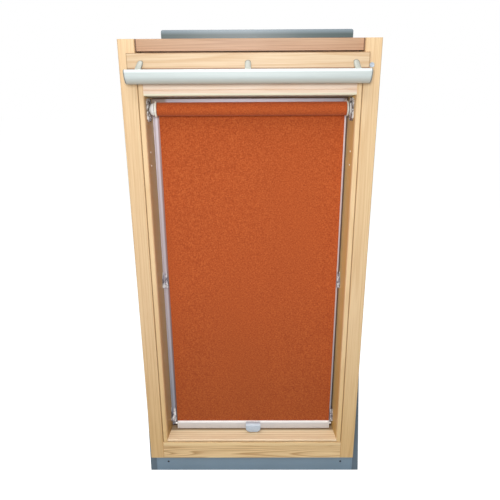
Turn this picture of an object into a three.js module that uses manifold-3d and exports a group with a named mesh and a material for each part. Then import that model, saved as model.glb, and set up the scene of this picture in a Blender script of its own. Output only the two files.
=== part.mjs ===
// Centre-pivot roof window in pine with a spring roller blind in its sash.
// Millimetres. +X to the right seen from the room, +Z up along the window, +Y out of the room.
// The model's origin is the middle of the underside of the frame's sill.

import * as THREE from 'three';
import { mergeVertices } from 'three/addons/utils/BufferGeometryUtils.js';
import Module from 'manifold-3d';

const wasm = await Module();
wasm.setup();

// General clearances
const seatGap = 0.3;
const cutOverrun = 2;
const roundSteps = 24;
const arcSteps = 5;

// Frame
const frameWidth = 780;
const frameHeight = 1515;
const frameDepth = 100;
const jambFace = 50;
const arrisChamfer = 2;
const claddingRebateDepth = 2;
const claddingRebateLength = 22;
const headFace = 34.5;
const headSetback = 12;
const headLipDrop = 28.5;
const headLipThickness = 14;
const hoodRebateLength = 18;
const sillHeight = 71.5;
const sillLipThickness = 22;
const sillBodyHeight = 36;
const sillFall = 4;
const sillRebateHeight = 28;

// Sash
const sashSideClearance = 2;
const sashBottom = 40;
const sashLipSeat = 75;
const sashTopClearance = 45;
const sashBackClearance = 2;
const stileFace = 15;
const recessBottom = 84;
const topRailFace = 116;
const glazingDepth = 26;
const recessFlare = 12;
const glazingRebate = 15;
const topRailStepLength = 16;
const topRailStepDrop = 22;
const bottomRailFront = 26;
const railNoseHeight = 4;
const railNoseStep = 3;
const grooveWidth = 2.4;
const grooveRise = 16;

// Glazing unit and the beads in front of it
const paneThickness = 4;
const spacerDepth = 11.4;
const spacerWidth = 11;
const spacerInset = 7;
const paneEdgeClearance = 1.5;
const beadWidth = 34;
const beadThickness = 3.6;
const beadLip = 5;
const beadStep = 1.2;
const mitreGap = 0.4;

// Ventilation slot in the top rail and its filter
const ventEndWood = 90;
const ventHeight = 14;
const ventRise = 57;

// Pivot hinges
const pivotRise = 2.5;
const pivotSetForward = 2;
const pivotPinRadius = 7;
const pivotPinCollarRadius = 12;
const pivotPinCollar = 1.2;
const pivotPinInSash = 8;
const pivotPinInFrame = 20;
const pivotBushWall = 4;
const pivotBushFlange = 1;
const pivotBushFlangeRadius = 16;

// Outside claddings
const sheetThickness = 1.2;
const claddingInnerEdge = 2;
const gutterWidth = 14;
const gutterLip = 8;
const apronSideReach = 3;
const apronShift = 9;
const apronDrop = 129;
const apronHem = 10;
const apronTongueInset = 4;
const returnWidth = 28;
const returnHeight = 390;
const hoodEndInset = 46;
const hoodOffset = 22;
const hoodRise = 26;
const hoodReach = 32;
const hoodDrop = 66;
const hoodSheet = 1.6;
const hoodCornerRadius = 6;
const hoodSlope = 14;
const coverWidth = 36;
const coverLipWidth = 20;
const coverOuterInset = 2;

// Seals
const sealHeight = 10;
const sealBulge = 1.2;
const sealShoulder = 2.4;

// Latch case in the top of the sash
const latchLength = 120;
const latchWidth = 22;
const latchDepth = 30;
const latchBevel = 3;
const latchFront = 30;
const latchProud = 2;

// Ventilation flap, its hinge and the control bar
const flapSideReach = 18;
const flapShift = -5.5;
const flapThickness = 14;
const flapStandoff = 0.8;
const flapTopRise = 6;
const flapHeight = 78;
const flapNoseRadius = 7;
const flapBead = 3;
const hingeRodRadius = 2.5;
const hingeRodClearance = 0.3;
const hingeRodEnd = 3;
const hingePlaceShare = 0.59;
const hingeWidth = 30;
const hingeEyeRadius = 6;
const hingeNotchClearance = 1;
const hingeStemThickness = 4;
const hingeStemReach = 14;
const barSideReach = 21;
const barEndSlant = 5.5;
const barHeight = 42;
const barDrop = 9;
const barBack = 33;
const barBulge = 19;
const barWall = 2;
const barBackWidth = 4;
const capThickness = 3;
const armEndInset = 18.5;
const armWidth = 18;
const armFootHeight = 22;
const armFootDrop = 21;
const armThickness = 5;
const armNeckDepth = 10;
const armCornerRadius = 7;

// Blind: roller
const rollerDrop = 44.5;
const rollerBackRoom = 34;
const blindShift = 5;
const clothSideGap = 29;
const clothThickness = 0.5;
const tubeRadius = 17.5;
const tubeWall = 1.2;
const rollTurns = 3;
const rollPitch = 1.05;
const rollStepsPerTurn = 36;
const tubeOverhang = 1;
const plugFlangeRadius = 24;
const plugFlange = 3;
const plugHubLength = 24;
const plugPinRadius = 2.5;
const plugPinReach = 11.5;
const plugRimRadius = 20;
const plugRimDepth = 1;

// Blind: spring motor inside the tube
const shaftRadius = 4;
const shaftClearance = 0.4;
const shaftLength = 143;
const shaftCollarRadius = 13;
const shaftCollar = 6;
const tangThickness = 3;
const springRadius = 10;
const springWireRadius = 1.2;
const springTurns = 12;
const springPitch = 7.5;
const springSteps = 8;
const springSides = 5;

// Blind: brackets on the side walls
const bracketThickness = 2.4;
const bracketLength = 42;
const bracketHeight = 70;
const bracketCorner = 10;
const bracketDrop = 1.5;
const bossRadius = 8;
const bossReach = 11;
const bossWaistShare = 0.62;

// Blind: cloth, bottom bar, pins and pull
const barSectionDepth = 11;
const barSectionHeight = 31.5;
const barSectionRise = 12.5;
const barSectionBackRoom = 20;
const barSectionWall = 1.4;
const barSectionCorner = 2;
const barSlot = 1.5;
const barCap = 4;
const clothInBar = 6;
const pinRadius = 1.5;
const pinReach = 8;
const pinBackRoom = 17;
const pinRise = 23.5;
const pullWidth = 56;
const pullReach = 21;
const pullDrop = 0.5;
const pullThickness = 3;
const pullCorner = 18;
const pullWeb = 2.5;
const pullShelf = 5;

// Blind: claws on the side walls
const clawHeight = 58;
const clawDepth = 10.5;
const clawPlateDepth = 12;
const clawBackRoom = 2;
const clawPlateThickness = 2.4;
const clawNoseGap = 2.3;
const clawNoseHeight = 26;
const clawCorner = 2;
const clawCrestShare = 0.8;
const clawGroove = 3.8;
const clawGrooveDepth = 3;
const clawLip = 1.8;
const bottomClawRise = 27.5;
const middleClawShare = 0.477;

// Grey plug on the right jamb beside the flap
const plugButtonRadius = 7.5;
const plugButtonProud = 4;
const plugButtonInset = 28;
const plugButtonRise = 41;
const plugButtonRound = 1.5;

// Places that follow from the sizes above
const halfWidth = frameWidth / 2;
const jambInner = halfWidth - jambFace;
const claddingRebateStart = frameDepth - claddingRebateLength;
const hoodRebateStart = frameDepth - hoodRebateLength;
const sashDepth = frameDepth - sashBackClearance;
const recessDepth = sashDepth - glazingDepth;
const topRailStepBack = sashDepth - topRailStepLength;
const pivotHeight = frameHeight / 2 + pivotRise;
const pivotDepth = frameDepth / 2 - pivotSetForward;
const sashHalfWidth = jambInner - sashSideClearance;
const sashTop = frameHeight - sashTopClearance;
const recessHalfWidth = sashHalfWidth - stileFace;
const recessTop = sashTop - topRailFace;
const topRailStepHeight = sashTop - topRailStepDrop;
const grooveHeight = recessTop + grooveRise;
const ventHalfLength = jambInner - ventEndWood;
const ventBase = recessTop + ventRise;
const apronHalfWidth = halfWidth + apronSideReach;
const hoodHalfWidth = jambInner - hoodEndInset;
const glassHalfWidth = recessHalfWidth - recessFlare + glazingRebate - paneEdgeClearance;
const glassBottom = recessBottom + recessFlare - glazingRebate + paneEdgeClearance;
const glassTop = recessTop - recessFlare + glazingRebate - paneEdgeClearance;
const beadFront = recessDepth + seatGap;
const innerPaneFront = beadFront + beadThickness + seatGap;
const spacerFront = innerPaneFront + paneThickness + seatGap;
const outerPaneFront = spacerFront + spacerDepth + seatGap;
const glassBack = outerPaneFront + paneThickness;
const rollRadius = tubeRadius + seatGap + rollTurns * rollPitch + clothThickness;
const rollerDepth = recessDepth - rollerBackRoom;
const clothBack = rollerDepth + rollRadius;
const clothFront = clothBack - clothThickness;
const rollHalfLength = recessHalfWidth - clothSideGap;
const rollerHeight = recessTop - rollerDrop;
const shaftInnerEnd = rollHalfLength - shaftLength;
const flapHalfWidth = jambInner + flapSideReach;
const flapTop = sashTop + flapTopRise;
const flapAxisHeight = flapTop - flapHeight;
const hingePlace = jambInner * hingePlaceShare;
const barHalfTop = jambInner + barSideReach;
const barHalfBottom = barHalfTop - barEndSlant;
const barBottom = flapAxisHeight - barDrop;
const armPlace = jambInner - armEndInset;
const armFootTop = flapTop - armFootDrop;
const plugButtonPlace = halfWidth - plugButtonInset;
const plugButtonHeight = flapAxisHeight + plugButtonRise;
const flapBack = -flapStandoff;
const flapFront = flapBack - flapThickness;
const flapAxisDepth = flapBack - flapNoseRadius;
const barSectionFront = recessDepth - barSectionBackRoom;
const pinDepth = recessDepth - pinBackRoom;
const clawBack = recessDepth - clawBackRoom;
const clawFront = clawBack - clawDepth;
const clawPlateFront = clawBack - clawPlateDepth;
const barSectionBase = recessBottom + barSectionRise;
const barSectionTop = barSectionBase + barSectionHeight;
const slotFront = (clothFront + clothBack - barSlot) / 2;
const barHalfLength = rollHalfLength - barCap;
const bottomClawBase = barSectionBase + bottomClawRise;
const middleClawBase = recessBottom + (recessTop - recessBottom) * middleClawShare;
const gutterFace = claddingRebateStart + seatGap;

// Materials
function finish(color, roughness, metalness) {
  return new THREE.MeshStandardMaterial({ color, roughness, metalness });
}

function pine() {
  return finish(0xe6c391, 0.55, 0);
}

function headPine() {
  return finish(0xd2a67c, 0.6, 0);
}

function clothOrange() {
  return finish(0xb8512a, 0.95, 0);
}

function anodised() {
  return finish(0xc9cccb, 0.35, 0.9);
}

function greyLacquer() {
  return finish(0x6f8290, 0.5, 0.4);
}

function clearPlastic() {
  return finish(0xd8d2cd, 0.2, 0);
}

function whitePlastic() {
  return finish(0xf2f1ec, 0.4, 0);
}

function greyPlastic() {
  return finish(0xb4bcc4, 0.45, 0);
}

function steel() {
  return finish(0x9a9c9e, 0.3, 1);
}

function rubber() {
  return finish(0x2b2b2a, 0.85, 0);
}

function paleGlass() {
  const material = finish(0xdfe9e6, 0.05, 0);
  material.transparent = true;
  material.opacity = 0.3;
  return material;
}

function foam() {
  return finish(0xd7d4c8, 0.95, 0);
}

// Shape helpers
const xAxis = new THREE.Vector3(1, 0, 0);
const yAxis = new THREE.Vector3(0, 1, 0);
const zAxis = new THREE.Vector3(0, 0, 1);

function outline(points) {
  return new THREE.Shape(points.map(([a, b]) => new THREE.Vector2(a, b)));
}

function extruded(shape, length) {
  return new THREE.ExtrudeGeometry(shape, { depth: length, bevelEnabled: false, curveSegments: arcSteps });
}

// An outline in (y, z), carried along X between two places.
function alongX(shape, firstX, secondX) {
  const geometry = extruded(shape, Math.abs(secondX - firstX));
  geometry.translate(0, 0, Math.min(firstX, secondX));
  geometry.applyMatrix4(new THREE.Matrix4().makeBasis(yAxis, zAxis, xAxis));
  return geometry;
}

// An outline in (x, z), carried along Y from startY to endY.
function alongY(shape, startY, endY) {
  const geometry = extruded(shape, endY - startY);
  geometry.translate(0, 0, -endY);
  geometry.applyMatrix4(new THREE.Matrix4().makeBasis(xAxis, zAxis, yAxis.clone().negate()));
  return geometry;
}

// An outline in (x, y), carried along Z from startZ to endZ.
function alongZ(shape, startZ, endZ) {
  const geometry = extruded(shape, endZ - startZ);
  geometry.translate(0, 0, startZ);
  return geometry;
}

function box(firstX, secondX, lowY, highY, lowZ, highZ) {
  const geometry = new THREE.BoxGeometry(Math.abs(secondX - firstX), highY - lowY, highZ - lowZ);
  geometry.translate((firstX + secondX) / 2, (lowY + highY) / 2, (lowZ + highZ) / 2);
  return geometry;
}

function roundedRectangle(lowA, highA, lowB, highB, radius) {
  const shape = new THREE.Shape();
  shape.moveTo(lowA + radius, lowB);
  shape.lineTo(highA - radius, lowB);
  shape.absarc(highA - radius, lowB + radius, radius, -Math.PI / 2, 0, false);
  shape.lineTo(highA, highB - radius);
  shape.absarc(highA - radius, highB - radius, radius, 0, Math.PI / 2, false);
  shape.lineTo(lowA + radius, highB);
  shape.absarc(lowA + radius, highB - radius, radius, Math.PI / 2, Math.PI, false);
  shape.lineTo(lowA, lowB + radius);
  shape.absarc(lowA + radius, lowB + radius, radius, Math.PI, 1.5 * Math.PI, false);
  return shape;
}

function signedVolume(geometry) {
  const place = geometry.getAttribute('position');
  const index = geometry.getIndex();
  const corner = [new THREE.Vector3(), new THREE.Vector3(), new THREE.Vector3()];
  let total = 0;
  for (let i = 0; i < index.count; i += 3) {
    corner.forEach((point, k) => point.fromBufferAttribute(place, index.getX(i + k)));
    total += corner[0].dot(corner[1].cross(corner[2]));
  }
  return total;
}

function welded(geometry) {
  const bare = geometry.clone();
  bare.deleteAttribute('normal');
  bare.deleteAttribute('uv');
  return mergeVertices(bare);
}

// Turns a closed mesh's faces outward, whichever way its profile was drawn.
function facingOut(geometry) {
  const closed = welded(geometry);
  if (signedVolume(closed) < 0) {
    const corners = Array.from(closed.getIndex().array);
    for (let i = 0; i < corners.length; i += 3) {
      [corners[i + 1], corners[i + 2]] = [corners[i + 2], corners[i + 1]];
    }
    closed.setIndex(corners);
  }
  closed.computeVertexNormals();
  return closed;
}

// A profile of [radius, place along X], turned about the X axis through (y, z).
function turnedAboutX(profile, y, z, segments = roundSteps) {
  const points = profile.map(([radius, along]) => new THREE.Vector2(radius, along));
  const geometry = new THREE.LatheGeometry(points, segments);
  geometry.rotateZ(-Math.PI / 2);
  geometry.translate(0, y, z);
  return facingOut(geometry);
}

function rodAlongX(radius, startX, endX, y, z, segments = roundSteps) {
  const lowX = Math.min(startX, endX);
  const highX = Math.max(startX, endX);
  return turnedAboutX([[0, lowX], [radius, lowX], [radius, highX], [0, highX]], y, z, segments);
}

function solidOf(geometry) {
  const closed = welded(geometry);
  return new wasm.Manifold(new wasm.Mesh({
    numProp: 3,
    vertProperties: new Float32Array(closed.getAttribute('position').array),
    triVerts: new Uint32Array(closed.getIndex().array),
  }));
}

function geometryOf(solid) {
  const mesh = solid.getMesh();
  const geometry = new THREE.BufferGeometry();
  geometry.setAttribute('position', new THREE.BufferAttribute(mesh.vertProperties, 3));
  geometry.setIndex(new THREE.BufferAttribute(mesh.triVerts, 1));
  geometry.computeVertexNormals();
  return geometry;
}

function joined(...geometries) {
  return geometryOf(geometries.map(solidOf).reduce((whole, next) => whole.add(next)));
}

function cut(geometry, ...tools) {
  return geometryOf(tools.map(solidOf).reduce((whole, tool) => whole.subtract(tool), solidOf(geometry)));
}

function common(first, second) {
  return geometryOf(solidOf(first).intersect(solidOf(second)));
}

const windowUnit = new THREE.Group();
windowUnit.position.y = -frameDepth / 2;
const frameGroup = new THREE.Group();
const sashGroup = new THREE.Group();
const flapGroup = new THREE.Group();
const blindGroup = new THREE.Group();
const hangingGroup = new THREE.Group();
windowUnit.add(frameGroup, sashGroup);
sashGroup.add(flapGroup, blindGroup);
blindGroup.add(hangingGroup);

function addPiece(group, name, geometry, material) {
  const mesh = new THREE.Mesh(geometry, material);
  mesh.name = name;
  group.add(mesh);
  return mesh;
}

const sides = [['left', -1], ['right', 1]];

// Frame: jambs with a bush hole for the pivot, head with its weather lip, sill with its front lip
function jambGeometry(side) {
  const section = outline([
    [side * jambInner, arrisChamfer],
    [side * (jambInner + arrisChamfer), 0],
    [side * (halfWidth - arrisChamfer), 0],
    [side * halfWidth, arrisChamfer],
    [side * halfWidth, claddingRebateStart],
    [side * (halfWidth - claddingRebateDepth), claddingRebateStart],
    [side * (halfWidth - claddingRebateDepth), frameDepth],
    [side * jambInner, frameDepth],
  ]);
  const bushRadius = pivotPinRadius + pivotBushWall + seatGap * 2;
  const bushHole = rodAlongX(
    bushRadius,
    side * (jambInner - cutOverrun),
    side * (jambInner + pivotPinInFrame + cutOverrun),
    pivotDepth,
    pivotHeight,
  );
  const flangeSeat = rodAlongX(
    pivotBushFlangeRadius + seatGap,
    side * (jambInner - cutOverrun),
    side * (jambInner + pivotBushFlange + seatGap),
    pivotDepth,
    pivotHeight,
  );
  return cut(alongZ(section, 0, frameHeight), bushHole, flangeSeat);
}

function headGeometry() {
  const underside = frameHeight - headFace;
  const lipFront = frameDepth - headLipThickness;
  const section = outline([
    [headSetback, underside],
    [headSetback, frameHeight - arrisChamfer],
    [headSetback + arrisChamfer, frameHeight],
    [hoodRebateStart, frameHeight],
    [hoodRebateStart, frameHeight - claddingRebateDepth],
    [frameDepth, frameHeight - claddingRebateDepth],
    [frameDepth, underside - headLipDrop],
    [lipFront, underside - headLipDrop],
    [lipFront, underside],
  ]);
  return alongX(section, -(jambInner - seatGap), jambInner - seatGap);
}

function sillGeometry() {
  const section = outline([
    [0, 0],
    [claddingRebateStart, 0],
    [claddingRebateStart, sillRebateHeight],
    [frameDepth, sillRebateHeight],
    [frameDepth, sillBodyHeight - sillFall],
    [sillLipThickness, sillBodyHeight],
    [sillLipThickness, sillHeight - arrisChamfer],
    [sillLipThickness - arrisChamfer, sillHeight],
    [arrisChamfer, sillHeight],
    [0, sillHeight - arrisChamfer],
  ]);
  return alongX(section, -(jambInner - seatGap), jambInner - seatGap);
}

// Seal: a flat strip with a soft bulge towards the sash, in (y, z), pressed out along +Y or -Y
function sealSection(baseDepth, direction, lowZ) {
  const crown = baseDepth + direction * (sealShoulder + sealBulge);
  const shoulder = baseDepth + direction * sealShoulder;
  return outline([
    [baseDepth, lowZ],
    [shoulder, lowZ],
    [crown, lowZ + sealHeight / 2],
    [shoulder, lowZ + sealHeight],
    [baseDepth, lowZ + sealHeight],
  ]);
}

for (const [word, side] of sides) {
  addPiece(frameGroup, `frame_jamb_${word}`, jambGeometry(side), pine());
}
addPiece(frameGroup, 'frame_head', headGeometry(), headPine());
addPiece(frameGroup, 'frame_sill', sillGeometry(), pine());

const lipFace = frameDepth - headLipThickness;
const headSealBase = frameHeight - headFace - headLipDrop + arrisChamfer;
const sealHalfLength = jambInner - jambFace / 2;
addPiece(
  frameGroup,
  'head_seal',
  alongX(sealSection(lipFace - seatGap, -1, headSealBase), -sealHalfLength, sealHalfLength),
  rubber(),
);
addPiece(
  frameGroup,
  'sill_seal',
  alongX(sealSection(sillLipThickness + seatGap, 1, sashBottom + sealHeight), -sealHalfLength, sealHalfLength),
  rubber(),
);

// Pivot: a flanged bush in each jamb and a collared pin in each stile
function bushGeometry(side) {
  const bore = pivotPinRadius + seatGap;
  const outer = pivotPinRadius + pivotBushWall + seatGap;
  const face = side * (jambInner + seatGap);
  const flangeBack = side * (jambInner + pivotBushFlange);
  const end = side * (jambInner + pivotPinInFrame);
  const profile = [
    [bore, face],
    [pivotBushFlangeRadius, face],
    [pivotBushFlangeRadius, flangeBack],
    [outer, flangeBack],
    [outer, end],
    [bore, end],
    [bore, face],
  ];
  return turnedAboutX(profile, pivotDepth, pivotHeight);
}

function pivotPinGeometry(side) {
  const inner = side * (sashHalfWidth - pivotPinInSash);
  const collarIn = side * (sashHalfWidth - pivotPinCollar + seatGap);
  const collarOut = side * (sashHalfWidth + seatGap);
  const end = side * (jambInner + pivotPinInFrame - arrisChamfer);
  const profile = [
    [0, inner],
    [pivotPinRadius, inner],
    [pivotPinRadius, collarIn],
    [pivotPinCollarRadius, collarIn],
    [pivotPinCollarRadius, collarOut],
    [pivotPinRadius, collarOut],
    [pivotPinRadius, end],
    [0, end],
  ];
  return turnedAboutX(profile, pivotDepth, pivotHeight);
}

// Side cladding: covers the jamb's outside face and side, and ends in a small gutter
function coverSection(side, gutter) {
  const back = frameDepth + seatGap;
  const leg = halfWidth - claddingRebateDepth + seatGap;
  const points = [
    [jambInner + claddingInnerEdge, back],
    [leg, back],
    [leg, gutterFace],
    ...gutter,
    [leg + sheetThickness, back + sheetThickness],
    [jambInner + claddingInnerEdge, back + sheetThickness],
  ];
  return outline(points.map(([x, y]) => [side * x, y]));
}

function sideCladdingGeometry(side) {
  const bend = halfWidth - claddingRebateDepth + seatGap + sheetThickness;
  const rim = bend + gutterWidth;
  const gutter = [
    [rim, gutterFace],
    [rim, gutterFace + gutterLip],
    [rim - sheetThickness, gutterFace + gutterLip],
    [rim - sheetThickness, gutterFace + sheetThickness],
    [bend, gutterFace + sheetThickness],
  ];
  return alongZ(coverSection(side, gutter), returnHeight + seatGap, frameHeight - seatGap);
}

// Apron return: the same covering, with a wide wing that narrows upward and runs down beside the apron
function returnGeometry(side) {
  const coverEdge = halfWidth - claddingRebateDepth + seatGap;
  const wingSeam = apronHalfWidth + side * apronShift + seatGap;
  const wingRim = wingSeam + returnWidth;
  const narrowRim = coverEdge + sheetThickness + gutterWidth;
  // Where the wing is wider than the cover its edge lies on the apron, and elsewhere it stays under the jamb
  const shelf = wingSeam > coverEdge ? 0 : -seatGap;
  const cover = alongZ(coverSection(side, [[coverEdge + sheetThickness, gutterFace]]), seatGap, returnHeight);
  const wing = alongY(
    outline([
      [side * wingSeam, -apronDrop],
      [side * wingRim, -apronDrop],
      [side * narrowRim, returnHeight],
      [side * coverEdge, returnHeight],
      [side * coverEdge, shelf],
      [side * wingSeam, shelf],
    ]),
    gutterFace,
    gutterFace + sheetThickness,
  );
  return joined(cover, wing);
}

function apronGeometry() {
  const face = gutterFace;
  const back = gutterFace + sheetThickness;
  const tongueHalf = jambInner - apronTongueInset;
  const lowX = apronShift - apronHalfWidth;
  const highX = apronShift + apronHalfWidth;
  const sheet = alongY(
    outline([
      [lowX, -apronDrop],
      [highX, -apronDrop],
      [highX, -seatGap],
      [tongueHalf, -seatGap],
      [tongueHalf, sillRebateHeight - seatGap],
      [-tongueHalf, sillRebateHeight - seatGap],
      [-tongueHalf, -seatGap],
      [lowX, -seatGap],
    ]),
    face,
    back,
  );
  const hem = box(
    lowX,
    highX,
    face,
    face + apronHem,
    -apronDrop,
    -apronDrop + sheetThickness,
  );
  return joined(sheet, hem);
}

// Hood over the head: a rounded cap of sheet metal, open underneath
function hoodGeometry() {
  const front = hoodRebateStart + seatGap;
  const back = frameDepth + hoodReach;
  const seat = frameHeight - claddingRebateDepth + seatGap;
  const top = frameHeight + hoodRise;
  const bottom = frameHeight - hoodDrop;
  const lowX = hoodOffset - hoodHalfWidth;
  const highX = hoodOffset + hoodHalfWidth;

  // The hood's outside, or with an inset its hollow, which runs out through the open underside
  function block(inset, lowest) {
    const profile = outline([
      [front + inset, seat + inset],
      [front + inset, top - inset],
      [back - inset, top - hoodSlope - inset],
      [back - inset, lowest],
      [frameDepth + seatGap + inset, lowest],
      [frameDepth + seatGap + inset, seat + inset],
    ]);
    const cap = alongX(profile, lowX + inset, highX - inset);
    const cornersBelow = bottom - hoodDrop;
    const face = roundedRectangle(lowX + inset, highX - inset, cornersBelow, top - inset, hoodCornerRadius - inset);
    return common(cap, alongY(face, front, back));
  }

  return cut(block(0, bottom), block(hoodSheet, bottom - cutOverrun));
}

for (const [word, side] of sides) {
  addPiece(frameGroup, `pivot_bush_${word}`, bushGeometry(side), greyPlastic());
  addPiece(frameGroup, `side_cladding_${word}`, sideCladdingGeometry(side), greyLacquer());
  addPiece(frameGroup, `apron_return_${word}`, returnGeometry(side), greyLacquer());
}
addPiece(frameGroup, 'apron', apronGeometry(), greyLacquer());
addPiece(frameGroup, 'top_hood', hoodGeometry(), greyLacquer());

// Plug on the right jamb beside the flap: a low round cap
function plugButtonGeometry() {
  const profile = [
    [0, 0],
    [plugButtonRadius, 0],
    [plugButtonRadius, plugButtonProud - plugButtonRound],
    [plugButtonRadius - plugButtonRound, plugButtonProud],
    [0, plugButtonProud],
  ];
  const geometry = turnedAboutX(profile, 0, 0);
  geometry.rotateZ(-Math.PI / 2);
  geometry.translate(0, -seatGap, 0);
  return geometry;
}

const plugButton = addPiece(frameGroup, 'jamb_plug_right', plugButtonGeometry(), greyPlastic());
plugButton.position.set(plugButtonPlace, 0, plugButtonHeight);

// Sash: stiles and rails whose inner faces flare towards the glass
function wallPlace(depth) {
  return recessHalfWidth - (recessFlare * depth) / recessDepth;
}

function stileSection(side) {
  const shoulder = recessHalfWidth - recessFlare;
  return outline([
    [side * (sashHalfWidth - arrisChamfer), 0],
    [side * sashHalfWidth, arrisChamfer],
    [side * sashHalfWidth, sashDepth],
    [side * (shoulder + glazingRebate), sashDepth],
    [side * (shoulder + glazingRebate), recessDepth],
    [side * shoulder, recessDepth],
    [side * wallPlace(arrisChamfer), arrisChamfer],
    [side * (recessHalfWidth + arrisChamfer), 0],
  ]);
}

function stileGeometry(side) {
  const inner = (side * recessHalfWidth) / 2;
  const outer = side * halfWidth;
  const stepTop = sashTop + cutOverrun;
  const lipNotch = box(inner, outer, -cutOverrun, bottomRailFront, sashBottom - cutOverrun, sashLipSeat);
  const headNotch = box(inner, outer, topRailStepBack, sashDepth + cutOverrun, topRailStepHeight, stepTop);
  const pinHole = rodAlongX(
    pivotPinRadius + seatGap,
    side * (sashHalfWidth - pivotPinInSash - seatGap),
    side * (sashHalfWidth + cutOverrun),
    pivotDepth,
    pivotHeight,
  );
  const collarSeat = rodAlongX(
    pivotPinCollarRadius + seatGap,
    side * (sashHalfWidth - pivotPinCollar),
    side * (sashHalfWidth + cutOverrun),
    pivotDepth,
    pivotHeight,
  );
  return cut(alongZ(stileSection(side), sashBottom, sashTop), lipNotch, headNotch, pinHole, collarSeat);
}

// What a rail's end is scribed to: the stile's inner face, moved off by the seat gap
function stileScribe(side) {
  const shoulder = recessHalfWidth - recessFlare - seatGap;
  const section = outline([
    [side * (wallPlace(-cutOverrun) - seatGap), -cutOverrun],
    [side * (halfWidth + cutOverrun), -cutOverrun],
    [side * (halfWidth + cutOverrun), frameDepth + cutOverrun],
    [side * (shoulder + glazingRebate), frameDepth + cutOverrun],
    [side * (shoulder + glazingRebate), recessDepth + seatGap],
    [side * shoulder, recessDepth + seatGap],
  ]);
  return alongZ(section, -cutOverrun, frameHeight + cutOverrun);
}

function scribedRail(section) {
  const rail = alongX(section, -sashHalfWidth, sashHalfWidth);
  return cut(rail, stileScribe(-1), stileScribe(1));
}

function topRailGeometry() {
  const back = recessTop - recessFlare;
  const section = outline([
    [0, recessTop + railNoseHeight],
    [arrisChamfer, recessTop - (recessFlare * arrisChamfer) / recessDepth],
    [recessDepth, back],
    [recessDepth, back + glazingRebate],
    [sashDepth, back + glazingRebate],
    [sashDepth, topRailStepHeight],
    [topRailStepBack, topRailStepHeight],
    [topRailStepBack, sashTop],
    [0, sashTop],
    [0, grooveHeight + grooveWidth / 2],
    [grooveWidth, grooveHeight],
    [0, grooveHeight - grooveWidth / 2],
  ]);
  const slot = box(
    -ventHalfLength,
    ventHalfLength,
    -cutOverrun,
    sashDepth + cutOverrun,
    ventBase,
    ventBase + ventHeight,
  );
  const latchPocket = box(
    -latchLength / 2 - seatGap,
    latchLength / 2 + seatGap,
    latchFront - seatGap,
    latchFront + latchWidth + seatGap,
    sashTop - latchDepth - seatGap,
    sashTop + cutOverrun,
  );
  const mortises = sides.map(([, side]) => box(
    flapShift + side * hingePlace - hingeWidth / 2 - seatGap,
    flapShift + side * hingePlace + hingeWidth / 2 + seatGap,
    -cutOverrun,
    hingeStemReach + seatGap,
    flapAxisHeight - hingeStemThickness / 2 - seatGap,
    flapAxisHeight + hingeStemThickness / 2 + seatGap,
  ));
  return cut(scribedRail(section), slot, latchPocket, ...mortises);
}

function bottomRailGeometry() {
  const back = recessBottom + recessFlare;
  const section = outline([
    [railNoseStep, sashLipSeat],
    [railNoseStep, recessBottom - railNoseHeight],
    [0, recessBottom - railNoseHeight],
    [0, recessBottom - arrisChamfer],
    [arrisChamfer, recessBottom + (recessFlare * arrisChamfer) / recessDepth],
    [recessDepth, back],
    [recessDepth, back - glazingRebate],
    [sashDepth, back - glazingRebate],
    [sashDepth, sashBottom],
    [bottomRailFront, sashBottom],
    [bottomRailFront, sashLipSeat],
  ]);
  return scribedRail(section);
}

for (const [word, side] of sides) {
  addPiece(sashGroup, `sash_stile_${word}`, stileGeometry(side), pine());
  addPiece(sashGroup, `pivot_pin_${word}`, pivotPinGeometry(side), steel());
}
addPiece(sashGroup, 'sash_top_rail', topRailGeometry(), pine());
addPiece(sashGroup, 'sash_bottom_rail', bottomRailGeometry(), pine());

addPiece(
  sashGroup,
  'vent_filter',
  box(
    -ventHalfLength + seatGap,
    ventHalfLength - seatGap,
    seatGap,
    sashDepth - seatGap,
    ventBase + seatGap,
    ventBase + ventHeight - seatGap,
  ),
  foam(),
);

function latchGeometry() {
  const top = sashTop + latchProud;
  const bottom = sashTop - latchDepth;
  const section = outline([
    [-latchLength / 2, bottom],
    [latchLength / 2, bottom],
    [latchLength / 2, sashTop],
    [latchLength / 2 - latchBevel, top],
    [-latchLength / 2 + latchBevel, top],
    [-latchLength / 2, sashTop],
  ]);
  return alongY(section, latchFront, latchFront + latchWidth);
}

addPiece(sashGroup, 'latch_case', latchGeometry(), steel());

// Glazing unit: two panes round a hollow spacer, with four mitred beads in front
function paneShape(inset) {
  return outline([
    [-glassHalfWidth + inset, glassBottom + inset],
    [glassHalfWidth - inset, glassBottom + inset],
    [glassHalfWidth - inset, glassTop - inset],
    [-glassHalfWidth + inset, glassTop - inset],
  ]);
}

addPiece(sashGroup, 'inner_pane', alongY(paneShape(0), innerPaneFront, innerPaneFront + paneThickness), paleGlass());
addPiece(sashGroup, 'outer_pane', alongY(paneShape(0), outerPaneFront, outerPaneFront + paneThickness), paleGlass());
const spacerBlock = alongY(paneShape(spacerInset), spacerFront, spacerFront + spacerDepth);
const spacerVoid = alongY(
  paneShape(spacerInset + spacerWidth),
  spacerFront - cutOverrun,
  spacerFront + spacerDepth + cutOverrun,
);
addPiece(sashGroup, 'pane_spacer', cut(spacerBlock, spacerVoid), anodised());

// A bead's section, [place across from its outer edge, depth]: flat with a raised rib beside the recess
const beadSection = [
  [0, beadFront + beadThickness],
  [0, beadFront + beadStep],
  [glazingRebate, beadFront + beadStep],
  [glazingRebate + beadLip, beadFront],
  [beadWidth - beadLip, beadFront],
  [beadWidth, beadFront + beadStep],
  [beadWidth, beadFront + beadThickness],
];

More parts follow.
